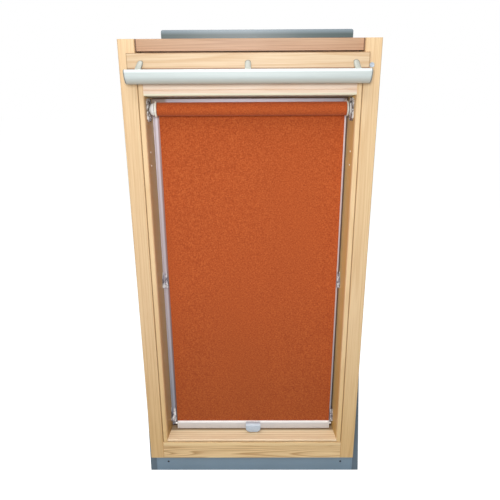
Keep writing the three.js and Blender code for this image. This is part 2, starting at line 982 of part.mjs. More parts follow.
function beadCutter(outwardX, outwardZ, mirrored) {
  // Half plane on the far side of a 45 degree mitre, kept clear by half the mitre gap
  const reach = frameHeight;
  const clear = mitreGap / Math.SQRT2;
  const cornerX = outwardX * glassHalfWidth;
  const cornerZ = outwardZ > 0 ? glassTop : glassBottom;
  const alongEdge = mirrored ? -clear : clear;
  return alongY(
    outline([
      [cornerX + outwardX * (alongEdge + reach), cornerZ + outwardZ * reach],
      [cornerX + outwardX * (alongEdge - reach), cornerZ - outwardZ * reach],
      mirrored
        ? [cornerX + outwardX * (alongEdge + reach), cornerZ - outwardZ * reach]
        : [cornerX + outwardX * (alongEdge - reach), cornerZ + outwardZ * reach],
    ]),
    beadFront - cutOverrun,
    glassBack,
  );
}

function sideBeadGeometry(side) {
  const section = outline(beadSection.map(([across, depth]) => [side * (glassHalfWidth - across), depth]));
  const bead = alongZ(section, glassBottom, glassTop);
  return cut(bead, beadCutter(side, 1, false), beadCutter(side, -1, false));
}

function levelBeadGeometry(top) {
  const edge = top ? glassTop : glassBottom;
  const inward = top ? -1 : 1;
  const section = outline(beadSection.map(([across, depth]) => [depth, edge + inward * across]));
  const bead = alongX(section, -glassHalfWidth, glassHalfWidth);
  const upward = top ? 1 : -1;
  return cut(bead, beadCutter(-1, upward, true), beadCutter(1, upward, true));
}

for (const [word, side] of sides) {
  addPiece(sashGroup, `glazing_bead_${word}`, sideBeadGeometry(side), anodised());
}
addPiece(sashGroup, 'glazing_bead_top', levelBeadGeometry(true), anodised());
addPiece(sashGroup, 'glazing_bead_bottom', levelBeadGeometry(false), anodised());

// Outside covers of the sash: a step that laps from the wood onto the outer pane
function coverProfile(outer, sign) {
  const woodFace = sashDepth + seatGap;
  const glassFace = glassBack + seatGap;
  const bend = outer - sign * (coverWidth - coverLipWidth);
  const tip = outer - sign * coverWidth;
  return [
    [outer, woodFace],
    [bend, woodFace],
    [bend, glassFace],
    [tip, glassFace],
    [tip, glassFace + sheetThickness],
    [bend - sign * sheetThickness, glassFace + sheetThickness],
    [bend - sign * sheetThickness, woodFace + sheetThickness],
    [outer, woodFace + sheetThickness],
  ];
}

const coverBottom = glassBottom - coverWidth + coverLipWidth;
const coverSideBottom = glassBottom - sheetThickness + seatGap;
const coverSideTop = topRailStepHeight - coverOuterInset;

// A side cover's lip stops at the pane's top, so that it stays off the top rail
function sideCoverGeometry(side) {
  const outer = sashHalfWidth - coverOuterInset;
  const section = outline(coverProfile(outer, 1).map(([x, y]) => [side * x, y]));
  const lipEnd = box(
    side * (outer - coverWidth - cutOverrun),
    side * (outer - coverWidth + coverLipWidth),
    recessDepth,
    frameDepth + cutOverrun,
    glassTop,
    sashTop,
  );
  return cut(alongZ(section, coverSideBottom, coverSideTop), lipEnd);
}

for (const [word, side] of sides) {
  addPiece(sashGroup, `sash_cover_${word}`, sideCoverGeometry(side), greyLacquer());
}

// The bottom cover's lip ends between the side covers, so that it stays off the stiles
function bottomCoverGeometry() {
  const half = sashHalfWidth - coverOuterInset;
  const section = outline(coverProfile(coverBottom, -1).map(([z, y]) => [y, z]));
  const corners = sides.map(([, side]) => box(
    side * (half - coverWidth - seatGap),
    side * halfWidth,
    recessDepth,
    frameDepth + cutOverrun,
    glassBottom - sheetThickness,
    glassBottom + coverWidth,
  ));
  return cut(alongX(section, -half, half), ...corners);
}

addPiece(sashGroup, 'sash_cover_bottom', bottomCoverGeometry(), greyLacquer());

// Flap hinge: a rod through the flap's nose, held by two eyes whose stems are let into the top rail
addPiece(
  sashGroup,
  'flap_hinge_rod',
  rodAlongX(hingeRodRadius, -flapHalfWidth + hingeRodEnd, flapHalfWidth - hingeRodEnd, flapAxisDepth, flapAxisHeight),
  steel(),
).position.x = flapShift;

function hingeEyeGeometry(centre) {
  const low = centre - hingeWidth / 2;
  const high = centre + hingeWidth / 2;
  const eye = rodAlongX(hingeEyeRadius, low, high, flapAxisDepth, flapAxisHeight);
  const stem = box(
    low,
    high,
    flapAxisDepth,
    hingeStemReach,
    flapAxisHeight - hingeStemThickness / 2,
    flapAxisHeight + hingeStemThickness / 2,
  );
  const bore = rodAlongX(
    hingeRodRadius + hingeRodClearance,
    low - cutOverrun,
    high + cutOverrun,
    flapAxisDepth,
    flapAxisHeight,
  );
  return cut(joined(eye, stem), bore);
}

for (const [word, side] of sides) {
  const eye = addPiece(sashGroup, `flap_hinge_eye_${word}`, hingeEyeGeometry(side * hingePlace), steel());
  eye.position.x = flapShift;
}
flapGroup.position.x = flapShift;

// Flap: a pine board with a round nose at its lower edge
function flapGeometry() {
  const shape = new THREE.Shape();
  shape.moveTo(flapBack, flapAxisHeight);
  shape.lineTo(flapBack, flapTop);
  shape.lineTo(flapFront + flapBead, flapTop);
  shape.quadraticCurveTo(flapFront, flapTop, flapFront, flapTop - flapBead);
  shape.lineTo(flapFront, flapAxisHeight);
  shape.absarc(flapAxisDepth, flapAxisHeight, flapNoseRadius, Math.PI, 2 * Math.PI, false);
  const bore = new THREE.Path();
  bore.absarc(flapAxisDepth, flapAxisHeight, hingeRodRadius + hingeRodClearance, 0, 2 * Math.PI, true);
  shape.holes.push(bore);
  const board = alongX(shape, -flapHalfWidth, flapHalfWidth);
  const notches = sides.map(([, side]) => box(
    side * hingePlace - hingeWidth / 2 - hingeNotchClearance,
    side * hingePlace + hingeWidth / 2 + hingeNotchClearance,
    flapFront - cutOverrun,
    cutOverrun,
    flapAxisHeight - flapNoseRadius - cutOverrun,
    flapAxisHeight + flapNoseRadius + hingeNotchClearance,
  ));
  return cut(board, ...notches);
}

addPiece(flapGroup, 'ventilation_flap', flapGeometry(), pine());

// Control bar: a hollow extrusion with a bulging front, cut slanted at its ends
function barOutline(inset) {
  const centre = barBottom + barHeight / 2;
  const half = barHeight / 2 - inset;
  const shape = new THREE.Shape();
  shape.moveTo(-barBack - inset, centre - half);
  shape.lineTo(-barBack - inset, centre + half);
  shape.lineTo(-barBack - barBackWidth, centre + half);
  shape.absellipse(
    -barBack - barBackWidth,
    centre,
    barBulge - barBackWidth - inset,
    half,
    Math.PI / 2,
    1.5 * Math.PI,
    false,
    0,
  );
  return shape;
}

function slantedEnds(outward) {
  return alongY(
    outline([
      [-barHalfBottom - outward, barBottom - cutOverrun],
      [barHalfBottom + outward, barBottom - cutOverrun],
      [barHalfTop + outward, barBottom + barHeight + cutOverrun],
      [-barHalfTop - outward, barBottom + barHeight + cutOverrun],
    ]),
    -barBack - barBulge - cutOverrun,
    cutOverrun,
  );
}

const longest = barHalfTop + capThickness + cutOverrun;
const barBlank = alongX(barOutline(0), -longest, longest);
const barBore = alongX(barOutline(barWall), -longest - cutOverrun, longest + cutOverrun);
addPiece(flapGroup, 'control_bar', cut(common(barBlank, slantedEnds(0)), barBore), anodised());
const capRing = cut(common(barBlank, slantedEnds(capThickness)), slantedEnds(seatGap));
for (const [word, side] of sides) {
  const halfSpace = box(
    0,
    side * halfWidth,
    -barBack - barBulge - cutOverrun,
    cutOverrun,
    barBottom - cutOverrun,
    barBottom + barHeight + cutOverrun,
  );
  addPiece(flapGroup, `control_bar_cap_${word}`, common(capRing, halfSpace), greyPlastic());
}

// Arms: a foot on the flap's face and a slanting neck down to the back of the bar
function armGeometry() {
  const foot = flapFront - seatGap;
  const barFace = -barBack + seatGap;
  const neckTop = barBottom + barHeight - armThickness;
  const neckBottom = neckTop - armNeckDepth;
  const section = outline([
    [foot, armFootTop],
    [foot, armFootTop - armFootHeight],
    [foot - armThickness, armFootTop - armFootHeight],
    [barFace, neckBottom],
    [barFace, neckTop],
    [foot - armThickness, armFootTop - armThickness],
    [foot - armThickness / 2, armFootTop],
  ]);
  const face = roundedRectangle(
    -armWidth / 2,
    armWidth / 2,
    barBottom,
    armFootTop,
    armCornerRadius,
  );
  return common(
    alongX(section, -armWidth / 2, armWidth / 2),
    alongY(face, -barBack - barBulge, cutOverrun),
  );
}

for (const [word, place] of [['left', -armPlace], ['middle', 0], ['right', armPlace]]) {
  addPiece(flapGroup, `handle_arm_${word}`, armGeometry(), greyPlastic()).position.x = place;
}

// Roller tube, end plugs and the wound cloth, which hang a little to the right of the sash's middle
hangingGroup.position.x = blindShift;
const tubeHalf = rollHalfLength + tubeOverhang;
addPiece(
  hangingGroup,
  'roller_tube',
  turnedAboutX(
    [
      [tubeRadius - tubeWall, -tubeHalf],
      [tubeRadius, -tubeHalf],
      [tubeRadius, tubeHalf],
      [tubeRadius - tubeWall, tubeHalf],
      [tubeRadius - tubeWall, -tubeHalf],
    ],
    rollerDepth,
    rollerHeight,
  ),
  anodised(),
);

// A layer of cloth follows a spiral: its radius grows by one pitch a turn
function spiralRadius(turn) {
  return tubeRadius + seatGap + turn * rollPitch;
}

function spiralPoint(turn, offset) {
  // The last turn ends at the back of the roll, where the cloth drops away
  const angle = (turn - rollTurns) * 2 * Math.PI;
  const radius = spiralRadius(turn) + offset;
  return [rollerDepth + radius * Math.cos(angle), rollerHeight - radius * Math.sin(angle)];
}

function woundClothShape() {
  const steps = rollTurns * rollStepsPerTurn;
  const inner = [];
  const outer = [];
  for (let i = 0; i <= steps; i += 1) {
    const turn = i / rollStepsPerTurn;
    inner.push(spiralPoint(turn, 0));
    outer.push(spiralPoint(turn, clothThickness));
  }
  return outline([...inner, ...outer.reverse()]);
}

function leastTurnGap() {
  let least = Infinity;
  const steps = (rollTurns - 1) * rollStepsPerTurn;
  for (let i = 0; i <= steps; i += 1) {
    const turn = i / rollStepsPerTurn;
    const [innerY, innerZ] = spiralPoint(turn, clothThickness);
    const [outerY, outerZ] = spiralPoint(turn + 1, 0);
    least = Math.min(least, Math.hypot(outerY - innerY, outerZ - innerZ));
  }
  return least;
}

addPiece(hangingGroup, 'wound_cloth', facingOut(alongX(woundClothShape(), -rollHalfLength, rollHalfLength)), clothOrange());
console.log(`least gap between turns of the wound cloth: ${leastTurnGap().toFixed(2)} mm`);

function plugGeometry(side, boreRadius) {
  const flangeIn = side * (tubeHalf + seatGap);
  const flangeOut = side * (tubeHalf + seatGap + plugFlange);
  const hubIn = side * (tubeHalf - plugHubLength);
  const hubRadius = tubeRadius - tubeWall - seatGap;
  const rimIn = side * (tubeHalf + seatGap + plugFlange - plugRimDepth);
  const profile = [
    [hubRadius, hubIn],
    [hubRadius, flangeIn],
    [plugFlangeRadius, flangeIn],
    [plugFlangeRadius, flangeOut],
    [plugRimRadius, flangeOut],
    [plugRimRadius - plugRimDepth, rimIn],
  ];
  if (boreRadius > 0) {
    return turnedAboutX(
      [[boreRadius, hubIn], ...profile, [boreRadius, rimIn], [boreRadius, hubIn]],
      rollerDepth,
      rollerHeight,
    );
  }
  const pinEnd = side * (tubeHalf + seatGap + plugFlange + plugPinReach);
  return turnedAboutX(
    [[0, hubIn], ...profile, [plugPinRadius, rimIn], [plugPinRadius, pinEnd], [0, pinEnd]],
    rollerDepth,
    rollerHeight,
  );
}

addPiece(hangingGroup, 'roller_plug_left', plugGeometry(-1, 0), whitePlastic());
addPiece(hangingGroup, 'roller_plug_right', plugGeometry(1, shaftRadius + shaftClearance), whitePlastic());

// Spring motor: a fixed shaft with a flat tang in the right bracket, and the spring round it
const pinTip = tubeHalf + seatGap + plugFlange + plugPinReach;
const tangStart = tubeHalf + seatGap + plugFlange;

function shaftGeometry() {
  const round = turnedAboutX(
    [
      [0, shaftInnerEnd],
      [shaftCollarRadius, shaftInnerEnd],
      [shaftCollarRadius, shaftInnerEnd + shaftCollar],
      [shaftRadius, shaftInnerEnd + shaftCollar],
      [shaftRadius, tangStart],
      [0, tangStart],
    ],
    rollerDepth,
    rollerHeight,
  );
  const tang = box(
    tangStart - cutOverrun,
    pinTip,
    rollerDepth - tangThickness / 2,
    rollerDepth + tangThickness / 2,
    rollerHeight - shaftRadius,
    rollerHeight + shaftRadius,
  );
  return joined(round, tang);
}

addPiece(hangingGroup, 'spring_shaft', shaftGeometry(), steel());

// Sweeps a round wire along a list of points, with flat ends; one ring of corners for each point
function sweptWire(points, radius, sidesCount) {
  const positions = [];
  const index = [];
  points.forEach((point, i) => {
    const before = points[Math.max(i - 1, 0)];
    const after = points[Math.min(i + 1, points.length - 1)];
    const forward = after.clone().sub(before).normalize();
    const outward = new THREE.Vector3(0, point.y, point.z).normalize();
    outward.addScaledVector(forward, -outward.dot(forward)).normalize();
    const across = new THREE.Vector3().crossVectors(forward, outward);
    for (let k = 0; k < sidesCount; k += 1) {
      const angle = (2 * Math.PI * k) / sidesCount;
      const corner = point.clone();
      corner.addScaledVector(outward, radius * Math.cos(angle));
      corner.addScaledVector(across, radius * Math.sin(angle));
      positions.push(corner.x, corner.y, corner.z);
    }
  });
  for (let i = 0; i < points.length - 1; i += 1) {
    for (let k = 0; k < sidesCount; k += 1) {
      const next = (k + 1) % sidesCount;
      const low = i * sidesCount;
      const high = low + sidesCount;
      index.push(low + k, low + next, high + next, low + k, high + next, high + k);
    }
  }
  const last = (points.length - 1) * sidesCount;
  for (let k = 1; k < sidesCount - 1; k += 1) {
    index.push(0, k + 1, k, last, last + k, last + k + 1);
  }
  const geometry = new THREE.BufferGeometry();
  geometry.setAttribute('position', new THREE.Float32BufferAttribute(positions, 3));
  geometry.setIndex(index);
  return facingOut(geometry);
}

function springGeometry() {
  const start = shaftInnerEnd + shaftCollar + seatGap;
  const straight = springWireRadius * 2;
  const points = [new THREE.Vector3(start, springRadius, 0)];
  const steps = springTurns * springSteps;
  for (let i = 0; i <= steps; i += 1) {
    const angle = (2 * Math.PI * i) / springSteps;
    const along = start + straight + (springPitch * i) / springSteps;
    points.push(new THREE.Vector3(along, springRadius * Math.cos(angle), springRadius * Math.sin(angle)));
  }
  points.push(points[points.length - 1].clone().add(new THREE.Vector3(straight, 0, 0)));
  return sweptWire(points, springWireRadius, springSides);
}

const spring = addPiece(hangingGroup, 'roller_spring', springGeometry(), steel());
spring.position.set(0, rollerDepth, rollerHeight);
console.log(`least gap between coils of the spring: ${(springPitch - springWireRadius * 2).toFixed(2)} mm`);

// Brackets: a rounded plate on the flared wall with a boss that takes the pin or the tang
const flareAngle = Math.atan(recessFlare / recessDepth);

function bracketGeometry(side) {
  const plateShape = roundedRectangle(
    -bracketLength / 2,
    bracketLength / 2,
    -bracketHeight / 2,
    bracketHeight / 2,
    bracketCorner,
  );
  const plate = alongX(plateShape, -side * seatGap, -side * (seatGap + bracketThickness));
  plate.rotateZ(side * flareAngle);
  plate.translate(side * wallPlace(rollerDepth), rollerDepth, rollerHeight - bracketDrop);
  const bossOut = side * (wallPlace(rollerDepth) + bracketThickness);
  const bossIn = side * (wallPlace(rollerDepth) - bracketThickness - bossReach) + blindShift;
  const bossMouth = bossIn - side * cutOverrun;
  const boss = turnedAboutX(
    [
      [0, bossOut],
      [bossRadius, bossOut],
      [bossRadius * bossWaistShare, bossIn],
      [0, bossIn],
    ],
    rollerDepth,
    rollerHeight,
  );
  const mouthEnd = side * (pinTip + seatGap) + blindShift;
  if (side < 0) {
    const bore = rodAlongX(plugPinRadius + seatGap, bossMouth, mouthEnd, rollerDepth, rollerHeight);
    return cut(joined(plate, boss), stileScribe(side), bore);
  }
  const slot = box(
    bossMouth,
    mouthEnd,
    rollerDepth - tangThickness / 2 - seatGap,
    rollerDepth + tangThickness / 2 + seatGap,
    rollerHeight - shaftRadius - seatGap,
    rollerHeight + shaftRadius + seatGap,
  );
  return cut(joined(plate, boss), stileScribe(side), slot);
}

for (const [word, side] of sides) {
  addPiece(blindGroup, `blind_bracket_${word}`, bracketGeometry(side), clearPlastic());
}

// Hanging cloth, from the back of the roll down into the slot of the bottom bar
addPiece(
  hangingGroup,
  'fabric_sheet',
  box(
    -rollHalfLength,
    rollHalfLength,
    clothFront,
    clothBack,
    barSectionTop - clothInBar,
    rollerHeight - seatGap,
  ),
  clothOrange(),
);

// Bottom bar: an open extrusion, its slot in line with the cloth
function bottomBarSection() {
  const front = barSectionFront;
  const back = barSectionFront + barSectionDepth;
  const base = barSectionBase;
  const top = barSectionTop;
  const slotBack = slotFront + barSlot;
  const wall = barSectionWall;
  const corner = barSectionCorner;
  return outline([
    [slotFront, top],
    [front + corner, top],
    [front, top - corner],
    [front, base + corner],
    [front + corner, base],
    [back - corner, base],
    [back, base + corner],
    [back, top - corner],
    [back - corner, top],
    [slotBack, top],
    [slotBack, top - wall],
    [back - wall, top - wall],
    [back - wall, base + wall],
    [front + wall, base + wall],
    [front + wall, top - wall],
    [slotFront, top - wall],
  ]);
}

addPiece(hangingGroup, 'bottom_bar', alongX(bottomBarSection(), -barHalfLength, barHalfLength), anodised());

function bottomBarCapGeometry(side) {
  const inner = barHalfLength + seatGap;
  const outer = barHalfLength + barCap;
  const face = roundedRectangle(
    barSectionFront,
    barSectionFront + barSectionDepth,
    barSectionBase,
    barSectionTop,
    barSectionCorner,
  );
  const block = alongX(face, side * inner, side * outer);
  const pinHeight = barSectionBase + pinRise;
  const pin = rodAlongX(pinRadius, side * inner, side * (outer + pinReach), pinDepth, pinHeight, roundSteps / 2);
  const clothSlot = box(
    side * (inner - cutOverrun),
    side * (outer + cutOverrun),
    slotFront,
    slotFront + barSlot,
    barSectionTop - clothInBar - seatGap,
    barSectionTop + cutOverrun,
  );
  return joined(cut(block, clothSlot), pin);
}

for (const [word, side] of sides) {
  addPiece(hangingGroup, `bottom_bar_cap_${word}`, bottomBarCapGeometry(side), clearPlastic());
}

// Pull: a shelf on the bar's face that curves forward and down, with a web at each end
function pullGeometry() {
  const seat = barSectionFront - seatGap;
  const top = barSectionTop;
  const tip = seat - pullReach;
  const tipBottom = barSectionBase - pullDrop;
  const shelf = seat - pullShelf;
  const wall = pullThickness;
  const skinShape = new THREE.Shape();
  skinShape.moveTo(seat, top);
  skinShape.lineTo(shelf, top);
  skinShape.quadraticCurveTo(tip, top - wall, tip, tipBottom);
  skinShape.lineTo(tip + wall, tipBottom);
  skinShape.quadraticCurveTo(tip + wall, top - wall, shelf, top - wall);
  skinShape.lineTo(seat, top - wall);
  const webShape = new THREE.Shape();
  webShape.moveTo(seat, top);
  webShape.lineTo(shelf, top);
  webShape.quadraticCurveTo(tip, top - wall, tip, tipBottom);
  webShape.lineTo(tip + wall, tipBottom);
  webShape.lineTo(seat, barSectionBase + pullShelf);
  const half = pullWidth / 2;
  const skin = alongX(skinShape, -half, half);
  const webs = [alongX(webShape, -half, -half + pullWeb), alongX(webShape, half - pullWeb, half)];
  const face = roundedRectangle(-half, half, tipBottom, top + pullCorner, pullCorner);
  return common(joined(skin, ...webs), alongY(face, tip - cutOverrun, seat + cutOverrun));
}

addPiece(hangingGroup, 'pull_handle', pullGeometry(), greyPlastic());

// Claw: a plate on the wall and a hook whose underside is grooved for the bar's pin
function clawGeometry(side) {
  const nose = rollHalfLength + clawNoseGap + side * blindShift;
  const crest = wallPlace(clawBack) - seatGap - clawPlateThickness;
  const plateSection = outline([
    [side * (wallPlace(clawPlateFront) - seatGap), clawPlateFront],
    [side * (wallPlace(clawBack) - seatGap), clawBack],
    [side * crest, clawBack],
    [side * (wallPlace(clawPlateFront) - seatGap - clawPlateThickness), clawPlateFront],
  ]);
  const hookSection = outline([
    [side * (wallPlace(clawFront) - seatGap - clawCorner), clawFront],
    [side * (nose + clawCorner), clawFront],
    [side * nose, clawFront + clawCorner],
    [side * nose, clawBack - clawCorner],
    [side * (nose + clawCorner), clawBack],
    [side * (wallPlace(clawBack) - seatGap - clawCorner), clawBack],
  ]);
  const leaf = new THREE.Shape();
  leaf.moveTo(side * nose, 0);
  leaf.lineTo(side * halfWidth, 0);
  leaf.lineTo(side * halfWidth, clawHeight);
  leaf.lineTo(side * crest, clawHeight);
  leaf.quadraticCurveTo(side * nose, clawHeight * clawCrestShare, side * nose, clawNoseHeight);
  const hookFace = alongY(leaf, clawPlateFront, clawBack + cutOverrun);
  const groove = box(
    side * (nose - cutOverrun),
    side * (nose + pinReach + cutOverrun),
    clawFront + clawLip,
    clawFront + clawLip + clawGroove,
    -cutOverrun,
    clawGrooveDepth,
  );
  const hook = cut(common(alongZ(hookSection, 0, clawHeight), hookFace), groove);
  return joined(alongZ(plateSection, 0, clawHeight), hook);
}

for (const [word, side] of sides) {
  addPiece(blindGroup, `claw_bottom_${word}`, clawGeometry(side), clearPlastic()).position.z = bottomClawBase;
  addPiece(blindGroup, `claw_middle_${word}`, clawGeometry(side), clearPlastic()).position.z = middleClawBase;
}

export default windowUnit;
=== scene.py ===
"""A pine roof window with its roller blind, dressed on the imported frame. Metres."""

import math

import bmesh
import bpy
from mathutils import Matrix, Vector


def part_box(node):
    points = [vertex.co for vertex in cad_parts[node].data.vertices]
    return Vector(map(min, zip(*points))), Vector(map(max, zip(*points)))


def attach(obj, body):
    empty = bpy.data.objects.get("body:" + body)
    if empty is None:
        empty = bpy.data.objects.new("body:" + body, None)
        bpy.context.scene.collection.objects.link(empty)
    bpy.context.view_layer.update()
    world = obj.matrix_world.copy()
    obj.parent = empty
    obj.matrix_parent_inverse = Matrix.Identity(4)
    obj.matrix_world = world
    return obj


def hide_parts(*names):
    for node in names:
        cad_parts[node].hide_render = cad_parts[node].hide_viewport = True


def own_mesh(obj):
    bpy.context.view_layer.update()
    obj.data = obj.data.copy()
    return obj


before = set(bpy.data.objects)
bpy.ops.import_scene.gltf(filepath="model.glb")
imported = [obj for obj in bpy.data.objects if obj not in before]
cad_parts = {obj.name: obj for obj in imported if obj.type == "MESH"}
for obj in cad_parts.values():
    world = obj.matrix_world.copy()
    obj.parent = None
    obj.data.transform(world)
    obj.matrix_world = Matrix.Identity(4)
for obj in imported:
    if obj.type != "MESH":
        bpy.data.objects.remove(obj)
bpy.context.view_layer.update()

MM = 0.001
SIDES = (("left", -1), ("right", 1))
RIGHT = (1, 0, 0)
UP = (0, 0, 1)
TO_ROOM = (0, -1, 0)
WHITE = (1.0, 1.0, 1.0, 1.0)

# Pieces that touch stay this far apart, as in the solids
SEAT_GAP = 0.3 * MM

# Places on the solids that the scene measures from
ROOM_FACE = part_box("sash_stile_left")[0].y
HOOD_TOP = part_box("top_hood")[1].z
BAR_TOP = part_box("control_bar")[1].z
BOTTOM_BAR_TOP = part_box("bottom_bar")[1].z
RAIL_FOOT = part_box("sash_top_rail")[0].z
FLAP_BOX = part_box("ventilation_flap")


def srgb(red, green, blue):
    """A colour read from 0 to 255 in sRGB, as linear values for a shader."""
    def linear(value):
        share = value / 255
        return share / 12.92 if share <= 0.04045 else ((share + 0.055) / 1.055) ** 2.4
    return (linear(red), linear(green), linear(blue), 1.0)


def placed(name, data):
    """A new object in the scene."""
    made = bpy.data.objects.new(name, data)
    bpy.context.collection.objects.link(made)
    return made


# Camera: the photograph's place and angle, found by fitting corners of the window
CAMERA_PLACE = (0.0101, -1.7736, 1.485)
CAMERA_YAW = 0.43
CAMERA_PITCH = 20.07
CAMERA_ROLL = -0.35
CAMERA_LENS = 39.6
CAMERA_SENSOR = 36.0


def add_camera():
    data = bpy.data.cameras.new("camera")
    data.sensor_width = CAMERA_SENSOR
    data.lens = CAMERA_LENS
    data.clip_start = 0.05
    camera = placed("camera", data)
    turn = (
        Matrix.Rotation(math.radians(CAMERA_YAW), 4, "Z")
        @ Matrix.Rotation(math.radians(90 - CAMERA_PITCH), 4, "X")
        @ Matrix.Rotation(math.radians(CAMERA_ROLL), 4, "Z")
    )
    camera.matrix_world = Matrix.Translation(CAMERA_PLACE) @ turn
    bpy.context.scene.camera = camera


add_camera()


# Materials
class Nodes:
    """A node tree, with short calls for the nodes that this scene uses."""

    def __init__(self, tree):
        self.tree = tree

    def feed(self, socket, value):
        """Joins another node's output to an input, or sets the input to a plain value."""
        if hasattr(value, "is_linked"):
            self.tree.links.new(value, socket)
        else:
            socket.default_value = value

    def node(self, kind, inputs, **settings):
        made = self.tree.nodes.new(f"ShaderNode{kind}")
        for key, value in settings.items():
            setattr(made, key, value)
        for key, value in inputs.items():
            self.feed(made.inputs[key], value)
        return made

    def seen_directly(self):
        """One where the camera looks at a thing itself or through glass, and zero for all other light."""
        rays = self.node("LightPath", {}).outputs
        inputs = {0: rays["Is Camera Ray"], 1: rays["Is Transmission Ray"]}
        return self.node("Math", inputs, operation="MAXIMUM").outputs[0]


class Finish(Nodes):
    """A material on the object's own coordinates, which are metres in the shared frame."""

    def __init__(self, name):
        self.material = bpy.data.materials.new(name)
        self.material.use_nodes = True
        super().__init__(self.material.node_tree)
        self.shader = self.tree.nodes["Principled BSDF"]
        self.place = self.node("TexCoord", {}).outputs["Object"]

    def noise(self, scale, detail, stretch=(1.0, 1.0, 1.0), shift=(0, 0, 0), roughness=0.5, distortion=0.0):
        inputs = {"Vector": self.place, "Scale": stretch, "Location": shift}
        place = self.node("Mapping", inputs).outputs["Vector"]
        inputs = {"Vector": place, "Scale": scale, "Detail": detail}
        inputs |= {"Roughness": roughness, "Distortion": distortion}
        return self.node("TexNoise", inputs).outputs["Fac"]

    def ramp(self, value, *stops):
        ramp = self.node("ValToRGB", {"Fac": value})
        elements = ramp.color_ramp.elements
        while len(elements) < len(stops):
            elements.new(0.5)
        for element, (place, color) in zip(elements, stops):
            element.position = place
            element.color = color if hasattr(color, "__len__") else (color, color, color, 1.0)
        return ramp.outputs["Color"]

    def mixed(self, first, second, share, blend="MIX"):
        mix = self.node("Mix", {}, data_type="RGBA", blend_type=blend)
        sockets = {socket.identifier: socket for socket in (*mix.inputs, *mix.outputs)}
        for key, value in (("Factor_Float", share), ("A_Color", first), ("B_Color", second)):
            self.feed(sockets[key], value)
        return sockets["Result_Color"]

    def contours(self, field, lines):
        """Cuts a slow field into lines that rise slowly and end sharply, like the yearly rings of wood."""
        count = self.node("Math", {0: field, 1: lines}, operation="MULTIPLY").outputs[0]
        return self.node("Math", {0: count}, operation="FRACT").outputs[0]

    def shaded(self, color, shades):
        """Multiplies a colour by the tone of each shade, which sets in between two places along an axis."""
        for axis, start, end, tone in shades:
            value = self.node("SeparateXYZ", {0: self.place}).outputs[axis]
            rise = self.node("MapRange", {"From Min": start, "From Max": end, "Value": value})
            toned = self.mixed(color, (*tone, 1.0), 1.0, "MULTIPLY")
            color = self.mixed(color, toned, rise.outputs["Result"])
        return color

    def bump(self, height, distance, strength):
        inputs = {"Strength": strength, "Distance": distance, "Height": height}
        return self.node("Bump", inputs).outputs["Normal"]

    def set(self, color, roughness, **others):
        for key, value in {"Base_Color": color, "Roughness": roughness, **others}.items():
            self.feed(self.shader.inputs[key.replace("_", " ")], value)
        return self.material


def dimmed(color, share):
    return tuple(min(1.0, share * value) for value in color[:3]) + (1.0,)


def stretched(along, share):
    """The scale that draws a pattern out along X or Z."""
    return {"x": (share, 1.0, 1.0), "z": (1.0, 1.0, share)}[along]


# How many yearly rings a board shows in each step of its slow field
PINE_LINES = {"z": 16.0, "x": 20.0}
FIBRE_STRETCH = 0.012


def pine(name, wood, along, shift, figure=0.4, bend=0.035, shades=()):
    """Lacquered pine whose grain runs along Z or X: yearly rings that bend more or less, and fine fibres."""
    tree = Finish(name)
    light, dark = wood
    offset = (shift, shift * 0.7, shift * 1.3)
    stretch = stretched(along, bend)
    slow = tree.noise(13.0, 1.0, stretch, offset, roughness=0.35, distortion=0.25)
    contours = tree.contours(slow, PINE_LINES[along])
    rings = tree.ramp(contours, (0.0, 0.0), (0.55, 0.25), (0.86, 1.0), (1.0, 0.0))
    fibres = tree.noise(520.0, 3.0, stretched(along, FIBRE_STRETCH), offset, roughness=0.6)
    figured = tree.mixed(light, tree.mixed(light, dark, rings), figure)
    color = tree.mixed(figured, dark, tree.ramp(fibres, (0.42, 0.0), (0.78, 0.6)))
    cloud = tree.noise(5.0, 1.0, stretch, offset)
    broad = tree.ramp(cloud, (0.3, (0.97, 0.94, 0.93, 1)), (0.7, (1.0, 1.0, 0.97, 1)))
    color = tree.shaded(tree.mixed(color, broad, 1.0, "MULTIPLY"), shades)
    roughness = tree.ramp(fibres, (0.3, 0.42), (0.8, 0.56))
    normal = tree.bump(fibres, 0.00008, 0.3)
    return tree.set(color, roughness, Normal=normal, Coat_Weight=0.12, Coat_Roughness=0.35)


def shade_at(axis, base, start, full, tone):
    """A tone that sets in and is full at two distances from a base along an axis, in millimetres."""
    return axis, base + start * MM, base + full * MM, tone


# Painted shade: the cloth gets a little darker and warmer from its middle down to the bar
CLOTH_PAINTED_SHADE = shade_at("Z", 0, 700, 150, (0.86, 0.91, 0.73))


def blind_cloth(name):
    """Burnt orange woven cloth: fine mottled threads with slubs, matt."""
    tree = Finish(name)
    upright = tree.noise(520.0, 2.0, (1.0, 1.0, 0.3))
    level = tree.noise(520.0, 2.0, (0.3, 1.0, 1.0))
    weave = tree.mixed(upright, level, 0.5)
    slubs = tree.noise(420.0, 2.0, (1.0, 1.0, 0.7), roughness=0.6)
    cloud = tree.noise(6.0, 2.0)
    base = tree.ramp(weave, (0.36, srgb(166, 68, 22)), (0.5, srgb(188, 84, 30)), (0.64, srgb(203, 103, 48)))
    mottle = tree.ramp(slubs, (0.34, (0.9, 0.89, 0.87, 1)), (0.66, (1.08, 1.1, 1.12, 1)))
    shade = tree.ramp(cloud, (0.35, 0.98), (0.65, 1.01))
    color = tree.mixed(tree.mixed(base, mottle, 0.7, "MULTIPLY"), shade, 1.0, "MULTIPLY")
    color = tree.shaded(color, [CLOTH_PAINTED_SHADE])
    normal = tree.bump(weave, 0.0002, 0.6)
    return tree.set(color, 0.94, Normal=normal, Sheen_Weight=0.08)


